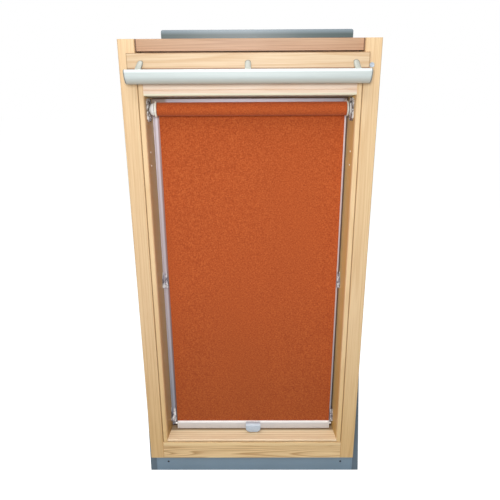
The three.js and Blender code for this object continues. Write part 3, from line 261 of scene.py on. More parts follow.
def brushed(name, color, roughness, along, metallic=1.0, shades=()):
    """Satin metal with fine lines along X or Z."""
    tree = Finish(name)
    lines = tree.noise(900.0, 3.0, stretched(along, 0.02))
    tone = tree.shaded(tree.ramp(lines, (0.3, dimmed(color, 0.92)), (0.7, color)), shades)
    rough = tree.ramp(lines, (0.2, roughness * 0.85), (0.8, roughness * 1.2))
    normal = tree.bump(lines, 0.00004, 0.3)
    return tree.set(tone, rough, Normal=normal, Metallic=metallic)


def lacquered(name, color, shades=()):
    """Painted sheet metal: a slight orange peel and faint dusty clouds."""
    tree = Finish(name)
    dust = tree.noise(7.0, 5.0, (1.0, 1.0, 0.5))
    peel = tree.noise(700.0, 1.0)
    tone = tree.shaded(tree.ramp(dust, (0.35, color), (0.75, dimmed(color, 1.1))), shades)
    rough = tree.ramp(dust, (0.3, 0.42), (0.8, 0.54))
    normal = tree.bump(peel, 0.00003, 0.35)
    return tree.set(tone, rough, Normal=normal, Coat_Weight=0.2, Coat_Roughness=0.25)


def moulded(name, color, roughness, shades=()):
    """Moulded plastic with a fine matt texture."""
    tree = Finish(name)
    grain = tree.noise(1300.0, 2.0)
    cloud = tree.noise(30.0, 2.0)
    tone = tree.shaded(tree.ramp(cloud, (0.35, dimmed(color, 0.94)), (0.65, color)), shades)
    rough = tree.ramp(grain, (0.3, roughness * 0.85), (0.7, roughness * 1.15))
    normal = tree.bump(grain, 0.00003, 0.3)
    return tree.set(tone, rough, Normal=normal, IOR=1.49)


def see_through(name, deep, middle):
    """Clear moulded plastic: glassy, with painted grey shade and painted white glints set by a noise in its
    colour.
    """
    tree = Finish(name)
    ribs = tree.noise(95.0, 2.0, (1.0, 1.0, 0.7), roughness=0.6, distortion=0.8)
    tone = tree.ramp(ribs, (0.38, deep), (0.5, middle), (0.6, srgb(250, 250, 250)))
    rough = tree.ramp(ribs, (0.3, 0.06), (0.7, 0.16))
    normal = tree.bump(ribs, 0.0006, 0.5)
    return tree.set(tone, rough, Normal=normal, Transmission_Weight=0.12, IOR=1.49)


def rubbery(name):
    tree = Finish(name)
    grain = tree.noise(500.0, 3.0)
    tone = tree.ramp(grain, (0.3, srgb(28, 28, 28)), (0.7, srgb(44, 43, 42)))
    return tree.set(tone, 0.75, Normal=tree.bump(grain, 0.00005, 0.5))


def window_glass(name):
    tree = Finish(name)
    film = tree.noise(12.0, 3.0)
    rough = tree.ramp(film, (0.4, 0.0), (0.8, 0.01))
    tone = tree.ramp(film, (0.3, srgb(238, 246, 243)), (0.7, srgb(246, 250, 249)))
    return tree.set(tone, rough, Transmission_Weight=1.0, IOR=1.5)


# Early and late wood of the boards
JAMB_WOOD = (srgb(245, 215, 170), srgb(216, 174, 121))
STILE_WOOD = (srgb(250, 219, 172), srgb(228, 188, 136))
SILL_WOOD = (srgb(255, 226, 172), srgb(184, 136, 78))
RAIL_WOOD = (srgb(252, 230, 210), srgb(236, 200, 166))
LOWER_RAIL_WOOD = (srgb(254, 235, 200), srgb(208, 168, 118))
NOSING_WOOD = (SILL_WOOD[0], LOWER_RAIL_WOOD[1])
FLAP_WOOD = (srgb(229, 204, 168), srgb(200, 156, 106))
# The head's pine is a darker copy, painted shade where the head lies set back under the hood
SHADED_HEAD_WOOD = (srgb(204, 165, 131), srgb(162, 116, 82))

# Painted shade on the glazing beads: darker ends and tops where the rail's shade falls, the cloth's shadow
# beside its left edge, a dark gap at the right bead's outer edge, and feet that are darker and bluer
BEAD_END_SHADE_TONE = (0.62, 0.52, 0.42)
BEAD_END_SHADES = [shade_at("X", 0, -262, -272, BEAD_END_SHADE_TONE), shade_at("X", 0, 292, 300, BEAD_END_SHADE_TONE)]
# The level beads are a darker copy of the anodised finish, painted shade under the rail
SHADED_ANODISED = brushed("anodised_level_shaded", srgb(170, 162, 168), 0.42, "x", 0.6, BEAD_END_SHADES)
BEAD_TOP_SHADE = shade_at("Z", 0, 1300, 1312, (0.5, 0.44, 0.34))
BEAD_FOOT_SHADE = shade_at("Z", 0, 650, 250, (0.62, 0.74, 0.82))
CLOTH_SHADE = shade_at("X", 0, -299, -295.5, (0.6, 0.42, 0.36))
OUTER_SHADE = shade_at("X", 0, 305.5, 307, (0.16, 0.12, 0.1))
LEFT_BEAD_SHADES = [CLOTH_SHADE, BEAD_TOP_SHADE, BEAD_FOOT_SHADE]
RIGHT_BEAD_SHADES = [OUTER_SHADE, BEAD_TOP_SHADE, BEAD_FOOT_SHADE]
# The left upright is a little darker than the right, a painted shade
ANODISED_LEFT = brushed("anodised_left", srgb(232, 224, 234), 0.42, "z", 0.5, LEFT_BEAD_SHADES)
ANODISED_RIGHT = brushed("anodised_right", srgb(250, 238, 244), 0.42, "z", 0.3, RIGHT_BEAD_SHADES)
# Painted highlights on the bars: each bar's colour is its bright crest, and the face below the crest is
# painted darker
BOTTOM_BAR_HIGHLIGHT = shade_at("Z", BOTTOM_BAR_TOP, -4, -6.5, (0.79, 0.79, 0.81))
CONTROL_BAR_HIGHLIGHT = shade_at("Z", BAR_TOP, -5, -9, (0.65, 0.68, 0.66))
# Painted shade: the control bar gets darker and warmer toward its foot
BAR_FOOT_SHADE = shade_at("Z", BAR_TOP, -24, -42, (1.06, 0.93, 0.8))
BAR_SATIN = brushed("control_bar_satin", srgb(240, 246, 247), 0.5, "x", 0.05, [CONTROL_BAR_HIGHLIGHT, BAR_FOOT_SHADE])
BOTTOM_BAR_SATIN = brushed("bottom_bar_satin", srgb(255, 252, 250), 0.42, "x", 0.1, [BOTTOM_BAR_HIGHLIGHT])
STEEL = brushed("zinc_steel", srgb(186, 188, 192), 0.25, "x")
DARK_STEEL = brushed("dark_steel", srgb(70, 72, 78), 0.4, "x", 0.6)
CLOTH = blind_cloth("blind_cloth")
LACQUER = lacquered("grey_lacquer", srgb(137, 162, 182))
# The side cladding, apron returns and sash covers take a darker copy of the grey lacquer, a painted shade
SHADED_SIDE_LACQUER = lacquered("side_lacquer_shaded", srgb(104, 122, 136))
# Painted shade: the hood is darker toward its foot, above the head
HOOD_FOOT_SHADE = shade_at("Z", HOOD_TOP, -4, -14, (0.32, 0.37, 0.32))
HOOD_LACQUER = lacquered("hood_lacquer", srgb(121, 139, 150), [HOOD_FOOT_SHADE])
# The clear plastics: a dark and a middle tone of painted shade, with painted white glints
CLEAR_PLASTIC = see_through("clear_plastic", srgb(112, 100, 90), srgb(176, 166, 160))
CLAW_PLASTIC = see_through("claw_plastic", srgb(124, 116, 122), srgb(198, 192, 202))
BRIGHT_PLASTIC = moulded("bright_plastic", srgb(248, 248, 248), 0.14)
WHITE_PLASTIC = moulded("white_plastic", srgb(252, 250, 238), 0.3)
# Painted shade: the arms are darker where they meet the flap
ARM_FOOT_SHADE = shade_at("Y", FLAP_BOX[0].y, -4.2, -3, (0.3, 0.26, 0.22))
ARM_PLASTIC = moulded("arm_plastic", srgb(190, 192, 182), 0.32, [ARM_FOOT_SHADE])
BAR_END_PLASTIC = moulded("bar_end_plastic", srgb(136, 140, 138), 0.4)
GREY_PLASTIC = moulded("grey_plastic", srgb(198, 210, 222), 0.28)
RUBBER = rubbery("black_seal")
# A dark brown for the painted shadow strip under the top rail
RAIL_SHADOW_STRIP_FINISH = moulded("rail_shadow_brown", srgb(106, 78, 56), 0.7)
GLASS = window_glass("window_glass")
FOAM = moulded("filter_foam", srgb(196, 190, 172), 0.9)


def both_ends(box, start, full, tone):
    """A shade at each end of a board: how far from the end it sets in, and where it is full."""
    low, high = box
    return [shade_at("X", low.x, start, full, tone), shade_at("X", high.x, -start, -full, tone)]


# Painted shade: the side walls of the recess are darker and warmer than the boards' faces, the left one more
# so
RECESS_SHADE_TONES = {"left": (0.57, 0.48, 0.34), "right": (0.82, 0.74, 0.48)}

# Painted shadow: the bottom rail is darker along the glass, where the bottom bar's shade falls
RAIL_PAINTED_SHADOW = shade_at("Y", ROOM_FACE, 42, 52, (0.38, 0.34, 0.31))

# Painted highlights: the bottom rail is paler along its front edge, and the top rail along its foot
LOWER_RAIL_LIP_HIGHLIGHT = shade_at("Y", ROOM_FACE, 5, 3, (1.16, 1.2, 1.26))
RAIL_LIP_HIGHLIGHT = shade_at("Z", RAIL_FOOT, 19, 15, (1.03, 1.28, 1.28))

# Painted shade: the boards get darker and warmer toward the foot of the window
BOARD_FOOT_SHADE = shade_at("Z", 0, 600, 80, (0.89, 0.84, 0.68))

# Painted shade: dark lines along the flap's top and ends, and its foot painted darker as the bar's shadow
FLAP_EDGE_SHADE_TONE = (0.6, 0.5, 0.4)
FLAP_EDGE_SHADES = [
    shade_at("Z", FLAP_BOX[1].z, -3, -1.5, FLAP_EDGE_SHADE_TONE),
    *both_ends(FLAP_BOX, 2.5, 1, FLAP_EDGE_SHADE_TONE),
    shade_at("Z", BAR_TOP, 3, 1.5, (0.46, 0.35, 0.32)),
]

# The head board has dark joints where it meets the jambs
HEAD_ENDS = both_ends(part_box("frame_head"), 3.6, 2.2, (0.3, 0.22, 0.16))


# Finishes by how a node's name begins. The first row that fits counts
FINISHES = (
    ("top_hood", HOOD_LACQUER),
    (("side_cladding", "apron_return", "sash_cover"), SHADED_SIDE_LACQUER),
    ("apron", LACQUER),
    ("glazing_bead_left", ANODISED_LEFT),
    ("glazing_bead_right", ANODISED_RIGHT),
    (("glazing_bead", "pane_spacer", "control_bar", "roller_tube", "bottom_bar"), SHADED_ANODISED),
    (("inner_pane", "outer_pane"), GLASS),
    (("claw", "blind_bracket"), CLEAR_PLASTIC),
    ("roller_plug", WHITE_PLASTIC),
    (("pivot_pin", "latch", "flap_hinge", "spring_shaft", "roller_spring"), STEEL),
    (("head_seal", "sill_seal"), RUBBER),
    ("vent_filter", FOAM),
    (("wound_cloth", "fabric_sheet"), CLOTH),
)


# Boards across the window: name and wood of the finish, shift, figure and bend of the grain, and shades
CROSS_BOARDS = {
    "frame_head": ("pine_head", SHADED_HEAD_WOOD, 2.2, 0.45, 0.02, HEAD_ENDS),
    "frame_sill": ("pine_sill", SILL_WOOD, 4.3, 0.75, 0.11, []),
    "sash_top_rail": ("pine_top_rail", RAIL_WOOD, 1.1, 0.35, 0.02, [RAIL_LIP_HIGHLIGHT]),
    "sash_bottom_rail": ("pine_bottom_rail", LOWER_RAIL_WOOD, 0.6, 0.65, 0.02, [RAIL_PAINTED_SHADOW, LOWER_RAIL_LIP_HIGHLIGHT]),
    "ventilation_flap": ("pine_flap", FLAP_WOOD, 3.1, 0.45, 0.022, FLAP_EDGE_SHADES),
}
UPRIGHT_SHIFT = 0.37


def material_for(name, count):
    """The finish of a CAD node; count keeps the grain of two boards from being the same."""
    if name in CROSS_BOARDS:
        label, wood, *grain = CROSS_BOARDS[name]
        return pine(label, wood, "x", *grain)
    if name.startswith("frame_jamb"):
        return pine(f"pine_{name}", JAMB_WOOD, "z", UPRIGHT_SHIFT * count, shades=[BOARD_FOOT_SHADE])
    if name.startswith("sash_stile"):
        # Painted shade on this stile's recess wall
        shade = shade_at("Y", ROOM_FACE, 4, 16, RECESS_SHADE_TONES[name.split("_")[-1]])
        return pine(f"pine_{name}", STILE_WOOD, "z", UPRIGHT_SHIFT * count, shades=[shade, BOARD_FOOT_SHADE])
    for beginnings, finish in FINISHES:
        if name.startswith(beginnings):
            return finish
    return GREY_PLASTIC


BOARD_EDGE = 1.2 * MM


def soften(piece, width):
    """Rounds the sharp edges of a piece a little."""
    bevel = piece.modifiers.new("edges", "BEVEL")
    bevel.width = width
    bevel.segments = 2
    bevel.limit_method = "ANGLE"
    bevel.angle_limit = math.radians(35)
    bevel.harden_normals = True


for count, (name, node) in enumerate(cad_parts.items()):
    material = material_for(name, count)
    for slot in node.material_slots:
        slot.material = material
    if material.name.startswith("pine"):
        soften(node, BOARD_EDGE)


# Building meshes
def add_piece(name, mesh, material, body, stands_for=(), sharp=32.0):
    """A smooth mesh from (points, faces) that rides on a body and may stand for CAD nodes."""
    data = bpy.data.meshes.new(name)
    points, faces = mesh
    data.from_pydata([tuple(point) for point in points], [], faces)
    tidy = bmesh.new()
    tidy.from_mesh(data)
    bmesh.ops.remove_doubles(tidy, verts=tidy.verts, dist=1e-7)
    bmesh.ops.recalc_face_normals(tidy, faces=tidy.faces)
    tidy.to_mesh(data)
    tidy.free()
    data.materials.append(material)
    data.shade_smooth()
    data.set_sharp_from_angle(angle=math.radians(sharp))
    piece = placed(name, data)
    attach(piece, body)
    if stands_for:
        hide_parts(*stands_for)
    return piece


def lofted(rings):
    """Skins rings that have the same number of points, and closes the first and the last."""
    count = len(rings[0])
    points = [point for ring in rings for point in ring]
    faces = [tuple(range(count)), tuple(range(len(points) - 1, len(points) - count - 1, -1))]
    for i in range(len(rings) - 1):
        for k in range(count):
            after = (k + 1) % count
            faces.append((i * count + k, i * count + after, (i + 1) * count + after, (i + 1) * count + k))
    return points, faces


def circle(axis, steps):
    """An axis of length one, and the angles round it with their directions."""
    axis = Vector(axis).normalized()
    side = axis.orthogonal().normalized()
    other = axis.cross(side)
    angles = [2 * math.pi * k / steps for k in range(steps)]
    return axis, [(angle, side * math.cos(angle) + other * math.sin(angle)) for angle in angles]


def turned(profile, centre, axis, steps):
    """Turns (radius, height) pairs round an axis through centre, with both ends closed by small flats."""
    axis, directions = circle(axis, steps)
    return lofted([
        [Vector(centre) + axis * height + around * radius for _, around in directions]
        for radius, height in profile
    ])


def in_mm(profile):
    """Pairs of millimetres as metres."""
    return [(first * MM, second * MM) for first, second in profile]


def together(*meshes):
    """Several meshes as one."""
    points, faces = [], []
    for some_points, some_faces in meshes:
        start = len(points)
        points += some_points
        faces += [tuple(start + corner for corner in face) for face in some_faces]
    return points, faces


def rounded_outline(width, height, radius, steps=6):
    """A rounded rectangle about its middle, as (across, up) pairs."""
    corners = ((1, 1, 0), (-1, 1, 90), (-1, -1, 180), (1, -1, 270))
    outline = []
    for across, up, start in corners:
        for k in range(steps + 1):
            angle = math.radians(start + 90 * k / steps)
            outline.append((
                across * (width / 2 - radius) + radius * math.cos(angle),
                up * (height / 2 - radius) + radius * math.sin(angle),
            ))
    return outline


def section(x, outline):
    """An outline of (depth, height) pairs at a place along X."""
    return [Vector((x, y, z)) for y, z in outline]


# Where a plate's rounded edge turns, as a share of the edge
EDGE_TURN = 0.3


def slab(outline, place, across, up, out, thickness, edge):
    """A plate with a rounded front edge. Its outline lies along across and up, and its front faces out."""
    across, up, out = Vector(across), Vector(up), Vector(out)
    middle_a, middle_b = ((min(values) + max(values)) / 2 for values in zip(*outline))
    turn = EDGE_TURN * edge
    layers = ((0, 0), (thickness - edge, 0), (thickness - turn, turn), (thickness, edge))
    rings = []
    for depth, inset in layers:
        ring = []
        for a, b in outline:
            away = Vector((a - middle_a, b - middle_b))
            share = 1 - inset / max(away.length, inset * 2, 1e-6)
            a_in, b_in = middle_a + away.x * share, middle_b + away.y * share
            ring.append(Vector(place) + across * a_in + up * b_in + out * depth)
        rings.append(ring)
    return lofted(rings)


def room_strip(width, height, radius, place, thickness, edge):
    """A flat strip with round corners that faces the room, its back at place."""
    return slab(rounded_outline(width, height, radius, 3), place, RIGHT, UP, TO_ROOM, thickness, edge)


# A pan head from its rim to its middle, as shares of its radius and of its height
SCREW_DOME = (
    (1.0, 0.0), (1.0, 0.45), (0.93, 0.75), (0.75, 0.93), (0.58, 1.0), (0.5, 1.0), (0.3, 1.0), (0.12, 1.0),
)
SCREW_HEIGHT = 0.45
SCREW_STEPS = 32

# Its cross: how far out it reaches, its sunk middle, half its width as a sine, and its depth
CROSS_REACH = 0.5
CROSS_MIDDLE = 0.2
CROSS_HALF = 0.45
CROSS_DEPTH = 0.35


def screw_head(place, out, radius):
    """A pan head with a cross recess, its underside at place and its top along out."""
    out, directions = circle(out, SCREW_STEPS)
    rings = []
    for share, rise in SCREW_DOME:
        ring = []
        for angle, around in directions:
            lift = SCREW_HEIGHT * radius * rise
            in_cross = share < CROSS_MIDDLE or abs(math.sin(2 * angle)) < CROSS_HALF
            if share <= CROSS_REACH and in_cross:
                lift -= CROSS_DEPTH * radius
            ring.append(Vector(place) + around * radius * share + out * lift)
        rings.append(ring)
    return lofted(rings)


def end_of(low, high, side):
    """Where a box ends on one side, in X."""
    return high.x if side > 0 else low.x


# The roller and the cloth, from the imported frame
roller_low, roller_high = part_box("roller_tube")
ROLLER_DEPTH = (roller_low.y + roller_high.y) / 2
ROLLER_HEIGHT = (roller_low.z + roller_high.z) / 2
TUBE_RADIUS = (roller_high.z - roller_low.z) / 2
wound_low, wound_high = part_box("wound_cloth")
CLOTH_MIDDLE = (wound_low.x + wound_high.x) / 2
CLOTH_HALF = (wound_high.x - wound_low.x) / 2
sheet_low, sheet_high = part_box("fabric_sheet")
CLOTH_THICKNESS = sheet_high.y - sheet_low.y


def across_cloth(columns):
    """Places along X from one side edge of the cloth to the other."""
    return [CLOTH_MIDDLE + CLOTH_HALF * (2 * k / columns - 1) for k in range(columns + 1)]


# The wound cloth: the same open spiral as the solid, with finer steps and a slight unevenness along it
ROLL_TURNS = 3
ROLL_STEPS = 72
ROLL_COLUMNS = 40

# The unevenness is a long wave along the roll and a weaker short one, in radians for each metre
ROLL_UNEVENNESS = 0.12 * MM
LONG_WAVE = 31
SHORT_WAVE = 83
SHORT_WAVE_SHARE = 0.6
SHORT_WAVE_SHIFT = 1.3


def roll_mesh():
    last_radius = wound_high.y - ROLLER_DEPTH - CLOTH_THICKNESS
    pitch = (last_radius - TUBE_RADIUS - SEAT_GAP) / ROLL_TURNS
    rings = []
    for x in across_cloth(ROLL_COLUMNS):
        waves = math.sin(LONG_WAVE * x) + SHORT_WAVE_SHARE * math.sin(SHORT_WAVE * x + SHORT_WAVE_SHIFT)
        swell = ROLL_UNEVENNESS * waves / (1 + SHORT_WAVE_SHARE)
        inner, outer = [], []
        for step in range(ROLL_TURNS * ROLL_STEPS + 1):
            turn = step / ROLL_STEPS
            angle = 2 * math.pi * (turn - ROLL_TURNS)
            radius = TUBE_RADIUS + SEAT_GAP + turn * pitch + swell * turn / ROLL_TURNS
            for reach, line in ((radius, inner), (radius + CLOTH_THICKNESS, outer)):
                y = ROLLER_DEPTH + reach * math.cos(angle)
                z = ROLLER_HEIGHT - reach * math.sin(angle)
                line.append(Vector((x, y, z)))
        rings.append(inner + outer[::-1])
    return lofted(rings), pitch


roll, roll_pitch = roll_mesh()
wound = add_piece("wound_blind_cloth", roll, CLOTH, "roller", ["wound_cloth"])


# The hanging cloth: nearly flat, with a faint ripple and edges that curl a little to the room
SHEET_COLUMNS = 48
SHEET_ROWS = 72
SHEET_RIPPLE = 0.5 * MM
SHEET_CURL = 0.9 * MM
SHEET_CURL_POWER = 10

# Its slow waves: radians for each metre across, how they drift on the way down, and their share
SHEET_WAVES = ((9, 2.1, 1), (17, -5, 0.5))


def sheet_mesh():
    def depth(x, z):
        """The waves, and a curl at the side edges alone. Both fade toward the top and the foot."""
        down = (sheet_high.z - z) / (sheet_high.z - sheet_low.z)
        hang = math.sin(math.pi * down)
        waves = sum(share * math.sin(across * x + drift * down) for across, drift, share in SHEET_WAVES)
        curl = SHEET_CURL * hang * abs((x - CLOTH_MIDDLE) / CLOTH_HALF) ** SHEET_CURL_POWER
        return SHEET_RIPPLE * hang * waves - curl

    columns = across_cloth(SHEET_COLUMNS)
    levels = [sheet_high.z + (sheet_low.z - sheet_high.z) * row / SHEET_ROWS for row in range(SHEET_ROWS + 1)]
    front, back = (
        [Vector((x, face + depth(x, z), z)) for z in levels for x in columns]
        for face in (sheet_low.y, sheet_high.y)
    )
    count = len(front)
    wide = SHEET_COLUMNS + 1
    faces = []
    for row in range(SHEET_ROWS):
        for column in range(SHEET_COLUMNS):
            k = row * wide + column
            faces.append((k, k + 1, k + 1 + wide, k + wide))
            faces.append((count + k + wide, count + k + 1 + wide, count + k + 1, count + k))
    rim = list(range(SHEET_COLUMNS))
    rim += [row * wide + SHEET_COLUMNS for row in range(SHEET_ROWS)]
    rim += [SHEET_ROWS * wide + k for k in range(SHEET_COLUMNS, 0, -1)]
    rim += [row * wide for row in range(SHEET_ROWS, 0, -1)]
    for here, after in zip(rim, rim[1:] + rim[:1]):
        faces.append((here, after, count + after, count + here))
    return front + back, faces


hanging = add_piece("hanging_blind_cloth", sheet_mesh(), CLOTH, "cloth", ["fabric_sheet"], 60.0)
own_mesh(hanging)


# The control bar: a bulging extrusion with slanted ends, and end caps
BAR_BACK = 4 * MM
BAR_CORNER = 1 * MM
BAR_STEPS = 28
BULGE_ABOVE = 0.5
BULGE_BELOW = 1.15
BAR_CAP_THICKNESS = 2.2 * MM
BAR_CAP_FACE = 0.95
BAR_CAP_ROUNDING = 0.8 * MM
BAR_CAP_TIP = 2.7 * MM


def bar_outline(low, high):
    """The bar's section as (depth, height): flat back, and a front that is fuller above its middle."""
    half = (high.z - low.z) / 2
    centre = (high.z + low.z) / 2
    outline = [(high.y, centre - half + BAR_CORNER), (high.y, centre + half - BAR_CORNER)]
    for k in range(BAR_STEPS + 1):
        angle = math.pi / 2 + math.pi * k / BAR_STEPS
        bulge = abs(math.cos(angle)) ** (BULGE_ABOVE if angle < math.pi else BULGE_BELOW)
        outline.append((
            high.y - BAR_BACK - bulge * (high.y - low.y - BAR_BACK),
            centre + half * math.sin(angle),
        ))
    return outline


def bar_mesh():
    low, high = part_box("control_bar")
    cap_low, cap_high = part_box("control_bar_cap_left")
    outline = bar_outline(low, high)
    slant = (cap_high.x - cap_low.x) - BAR_CAP_TIP

    def ring(side, outward):
        points = []
        for y, z in outline:
            rise = (high.z - z) / (high.z - low.z)
            points.append(Vector((end_of(low, high, side) - side * (slant * rise - outward), y, z)))
        return points

    body = lofted([ring(-1, 0), ring(1, 0)])
    caps = []
    for _, side in SIDES:
        rings = [ring(side, SEAT_GAP), ring(side, BAR_CAP_THICKNESS)]
        centre = sum(rings[1], Vector()) / len(rings[1])
        outward = Vector((side * BAR_CAP_ROUNDING, 0, 0))
        rings.append([centre + (point - centre) * BAR_CAP_FACE + outward for point in rings[1]])
        caps.append(lofted(rings))
    return body, caps


bar_body, bar_caps = bar_mesh()
add_piece("control_bar_shell", bar_body, BAR_SATIN, "flap", ["control_bar"])
for (word, _), cap in zip(SIDES, bar_caps):
    node = f"control_bar_cap_{word}"
    add_piece(f"bar_end_cap_{word}", cap, BAR_END_PLASTIC, "flap", [node])


# The arms that carry the bar: a foot with a round top on the flap, and a neck down to the bar's back.
# The outer two lean to the middle at their tops.
ARM_LEANS = {"left": 0.3, "middle": 0.0, "right": -0.2}
ARM_COLUMNS = 14
ARM_THICKNESS = 4.6 * MM
ARM_SHOULDER = 2.2 * MM
ARM_NECK = 12 * MM
ARM_EDGE = 0.8 * MM

# The radius of an arm's corners and its own width, as shares of the solid's width
ARM_ROUND = 0.42
ARM_FILL = 0.999

# How much thinner an arm is at its side edges
ARM_PINCH = 0.35


def arm_mesh(node, lean):
    low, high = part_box(node)
    width = high.x - low.x
    middle = (high.x + low.x) / 2
    radius = width * ARM_ROUND
    foot_base = high.z - 0.5 * (high.z - low.z)
    rings = []
    for column in range(ARM_COLUMNS + 1):
        across = math.cos(math.pi * column / ARM_COLUMNS) * width / 2
        beyond = max(0.0, abs(across) - (width / 2 - radius))
        drop = radius - math.sqrt(max(0.0, radius ** 2 - beyond ** 2))
        thick = ARM_THICKNESS * (1 - ARM_PINCH * (beyond / radius) ** 2)
        top = high.z - drop
        x = middle + across * ARM_FILL
        profile = [
            (high.y, top), (high.y - 0.5 * thick, top), (high.y - thick, top - ARM_SHOULDER),
            (low.y, max(low.z + ARM_NECK, foot_base - 2 * MM)), (low.y, low.z + drop * 0.5),
            (high.y - thick * 0.9, foot_base - 4 * MM), (high.y, foot_base - 3 * MM),
        ]
        rings.append([Vector((x + lean * (z - foot_base), y, z)) for y, z in profile])
    return lofted(rings)


for word, lean in ARM_LEANS.items():
    node = f"handle_arm_{word}"
    mesh = arm_mesh(node, lean)
    arm = add_piece(f"bar_arm_{word}", mesh, ARM_PLASTIC, "flap", [node], sharp=40.0)
    soften(arm, ARM_EDGE)


# The bottom bar: a rounded crest in front, and behind it the cloth's slot.
# How deep the two lie are shares of the bar's depth.
CREST_HEIGHT = 7 * MM
CREST_DEPTH = 0.6
CREST_STEPS = 8
SLOT_FRONT = 0.62
SLOT_BACK = 0.76
SLOT_DROP = 4 * MM
BACK_CORNER = 1 * MM


def bottom_bar_mesh():
    low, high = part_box("bottom_bar")
    deep = high.y - low.y
    outline = [
        (low.y + 1.2 * MM, low.z), (low.y + 0.4 * MM, low.z + 0.5 * MM),
        (low.y, low.z + 1.6 * MM), (low.y, high.z - CREST_HEIGHT),
    ]
    for k in range(1, CREST_STEPS):
        angle = math.pi / 2 * k / CREST_STEPS
        outline.append((
            low.y + CREST_DEPTH * deep * (1 - math.cos(angle)),
            high.z - CREST_HEIGHT * (1 - math.sin(angle)),
        ))
    outline += [
        (low.y + SLOT_FRONT * deep, high.z), (low.y + SLOT_FRONT * deep, high.z - SLOT_DROP),
        (low.y + SLOT_BACK * deep, high.z - SLOT_DROP), (low.y + SLOT_BACK * deep, high.z),
        (high.y - BACK_CORNER, high.z), (high.y, high.z - BACK_CORNER),
        (high.y, low.z + BACK_CORNER), (high.y - BACK_CORNER, low.z),
    ]
    return lofted([section(x, outline) for x in (low.x, high.x)])


add_piece(
    "bottom_bar_profile", bottom_bar_mesh(), BOTTOM_BAR_SATIN, "bottom_bar_set", ["bottom_bar"],
    sharp=25.0,
)


# The bottom bar's end caps, and their pins in sleeves of (radius, length) pairs in millimetres
CAP_CORNER = 2 * MM
CAP_EDGE = 0.9 * MM
PIN_LENGTH = 8 * MM
PIN_RISE = 23.5 * MM
PIN_DEPTH = 55 * MM
PIN_SLEEVE = (
    (3.3, 0.0), (3.3, 0.7), (2.2, 0.8), (2.2, 1.9), (3.3, 2.0),
    (3.4, 2.4), (3.4, 7.0), (2.8, 7.8), (1.2, 8.0),
)


def bar_cap_mesh(word, side):
    low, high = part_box("bottom_bar")
    inner = end_of(low, high, side)
    outer = end_of(*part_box(f"bottom_bar_cap_{word}"), side) - side * PIN_LENGTH
    outline = rounded_outline(high.y - low.y, high.z - low.z, CAP_CORNER)
    centre = Vector((inner + side * SEAT_GAP, (low.y + high.y) / 2, (low.z + high.z) / 2))
    length = abs(outer - inner) - SEAT_GAP
    block = slab(outline, centre, (0, 1, 0), UP, (side, 0, 0), length, CAP_EDGE)
    pin_place = (outer, ROOM_FACE + PIN_DEPTH, low.z + PIN_RISE)
    return together(block, turned(in_mm(PIN_SLEEVE), pin_place, (side, 0, 0), 24))


for word, side in SIDES:
    node = f"bottom_bar_cap_{word}"
    cap = bar_cap_mesh(word, side)
    add_piece(f"bar_cap_{word}", cap, BRIGHT_PLASTIC, "bottom_bar_set", [node])


# The pull: its skin, and the webs at its ends, whose two faces lie this far inside them
PULL_COLUMNS = 36
PULL_STEPS = 16
PULL_CORNER = 18 * MM
PULL_WALL = 3 * MM
PULL_SHELF = 5 * MM
WEB_FACES = (0.2 * MM, 2.2 * MM)
WEB_INSET = 1 * MM
WEB_FOOT = 8 * MM


def pull_mesh():
    """A skin that curves forward and down from the bar's top, with round lower corners and webbed ends."""
    low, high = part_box("pull_handle")
    half = (high.x - low.x) / 2
    middle = (high.x + low.x) / 2
    seat, tip, top, base = high.y, low.y, high.z, low.z
    shelf = seat - PULL_SHELF

    def lower_end(x):
        beyond = max(0.0, abs(x - middle) - (half - PULL_CORNER))
        return base + PULL_CORNER - math.sqrt(max(0.0, PULL_CORNER ** 2 - beyond ** 2))

    def skin(inset, stop):
        """The curve from the shelf down to the height stop."""
        fall = (top - inset - stop) / (top - inset - base)
        points = []
        for k in range(PULL_STEPS + 1):
            t = k / PULL_STEPS * math.sqrt(max(0.0, fall))
            y = (1 - t) ** 2 * shelf + (2 * t * (1 - t) + t * t) * (tip + inset)
            z = ((1 - t) ** 2 + 2 * t * (1 - t)) * (top - inset) + t * t * base
            points.append((y, z))
        return points

    rings = []
    for column in range(PULL_COLUMNS + 1):
        x = middle - half * math.cos(math.pi * column / PULL_COLUMNS)
        stop = lower_end(x)
        outline = [(seat, top), *skin(0, stop), *skin(PULL_WALL, stop)[::-1], (seat, top - PULL_WALL)]
        rings.append(section(x, outline))
    web_skin = skin(WEB_INSET, lower_end(middle + half - 2 * MM))
    edge = [(seat, top - 0.5 * MM), *web_skin, (seat, base + WEB_FOOT)]
    webs = []
    for _, side in SIDES:
        webs.append(lofted([section(middle + side * (half - face), edge) for face in WEB_FACES]))
    return together(lofted(rings), *webs)


pull = pull_mesh()
add_piece("pull_grip", pull, GREY_PLASTIC, "bottom_bar_set", ["pull_handle"], sharp=40.0)


# Roller plugs in millimetres, from the hub in the tube round the rim and over the sunk face.
# The left plug has a pin and a flange that bulges more, and the right plug a bore for the shaft.
PLUG_RADIUS = 24
PLUG_DISC = (
    (15.9, -24.0), (15.9, 0.3), (22.6, 0.3), (23.6, 0.8), (24.0, 1.8), (23.7, 2.8), (22.9, 3.3),
    (20.4, 3.3), (19.6, 2.5), (12.0, 2.4), (9.0, 2.4), (8.4, 3.1), (6.0, 3.1), (5.6, 2.6),
)
PLUG_PIN = ((2.5, 2.6), (2.5, 14.1), (1.9, 14.8))
PLUG_BORE = ((4.5, 2.6), (4.4, -24.0))
PLUG_BULGE = 3
PLUG_RIBS = 8
RIB_LENGTH = 10.4
RIB_WIDTH = 1.2
RIB_RADIUS = 14.2
RIB_RISE = 2.3


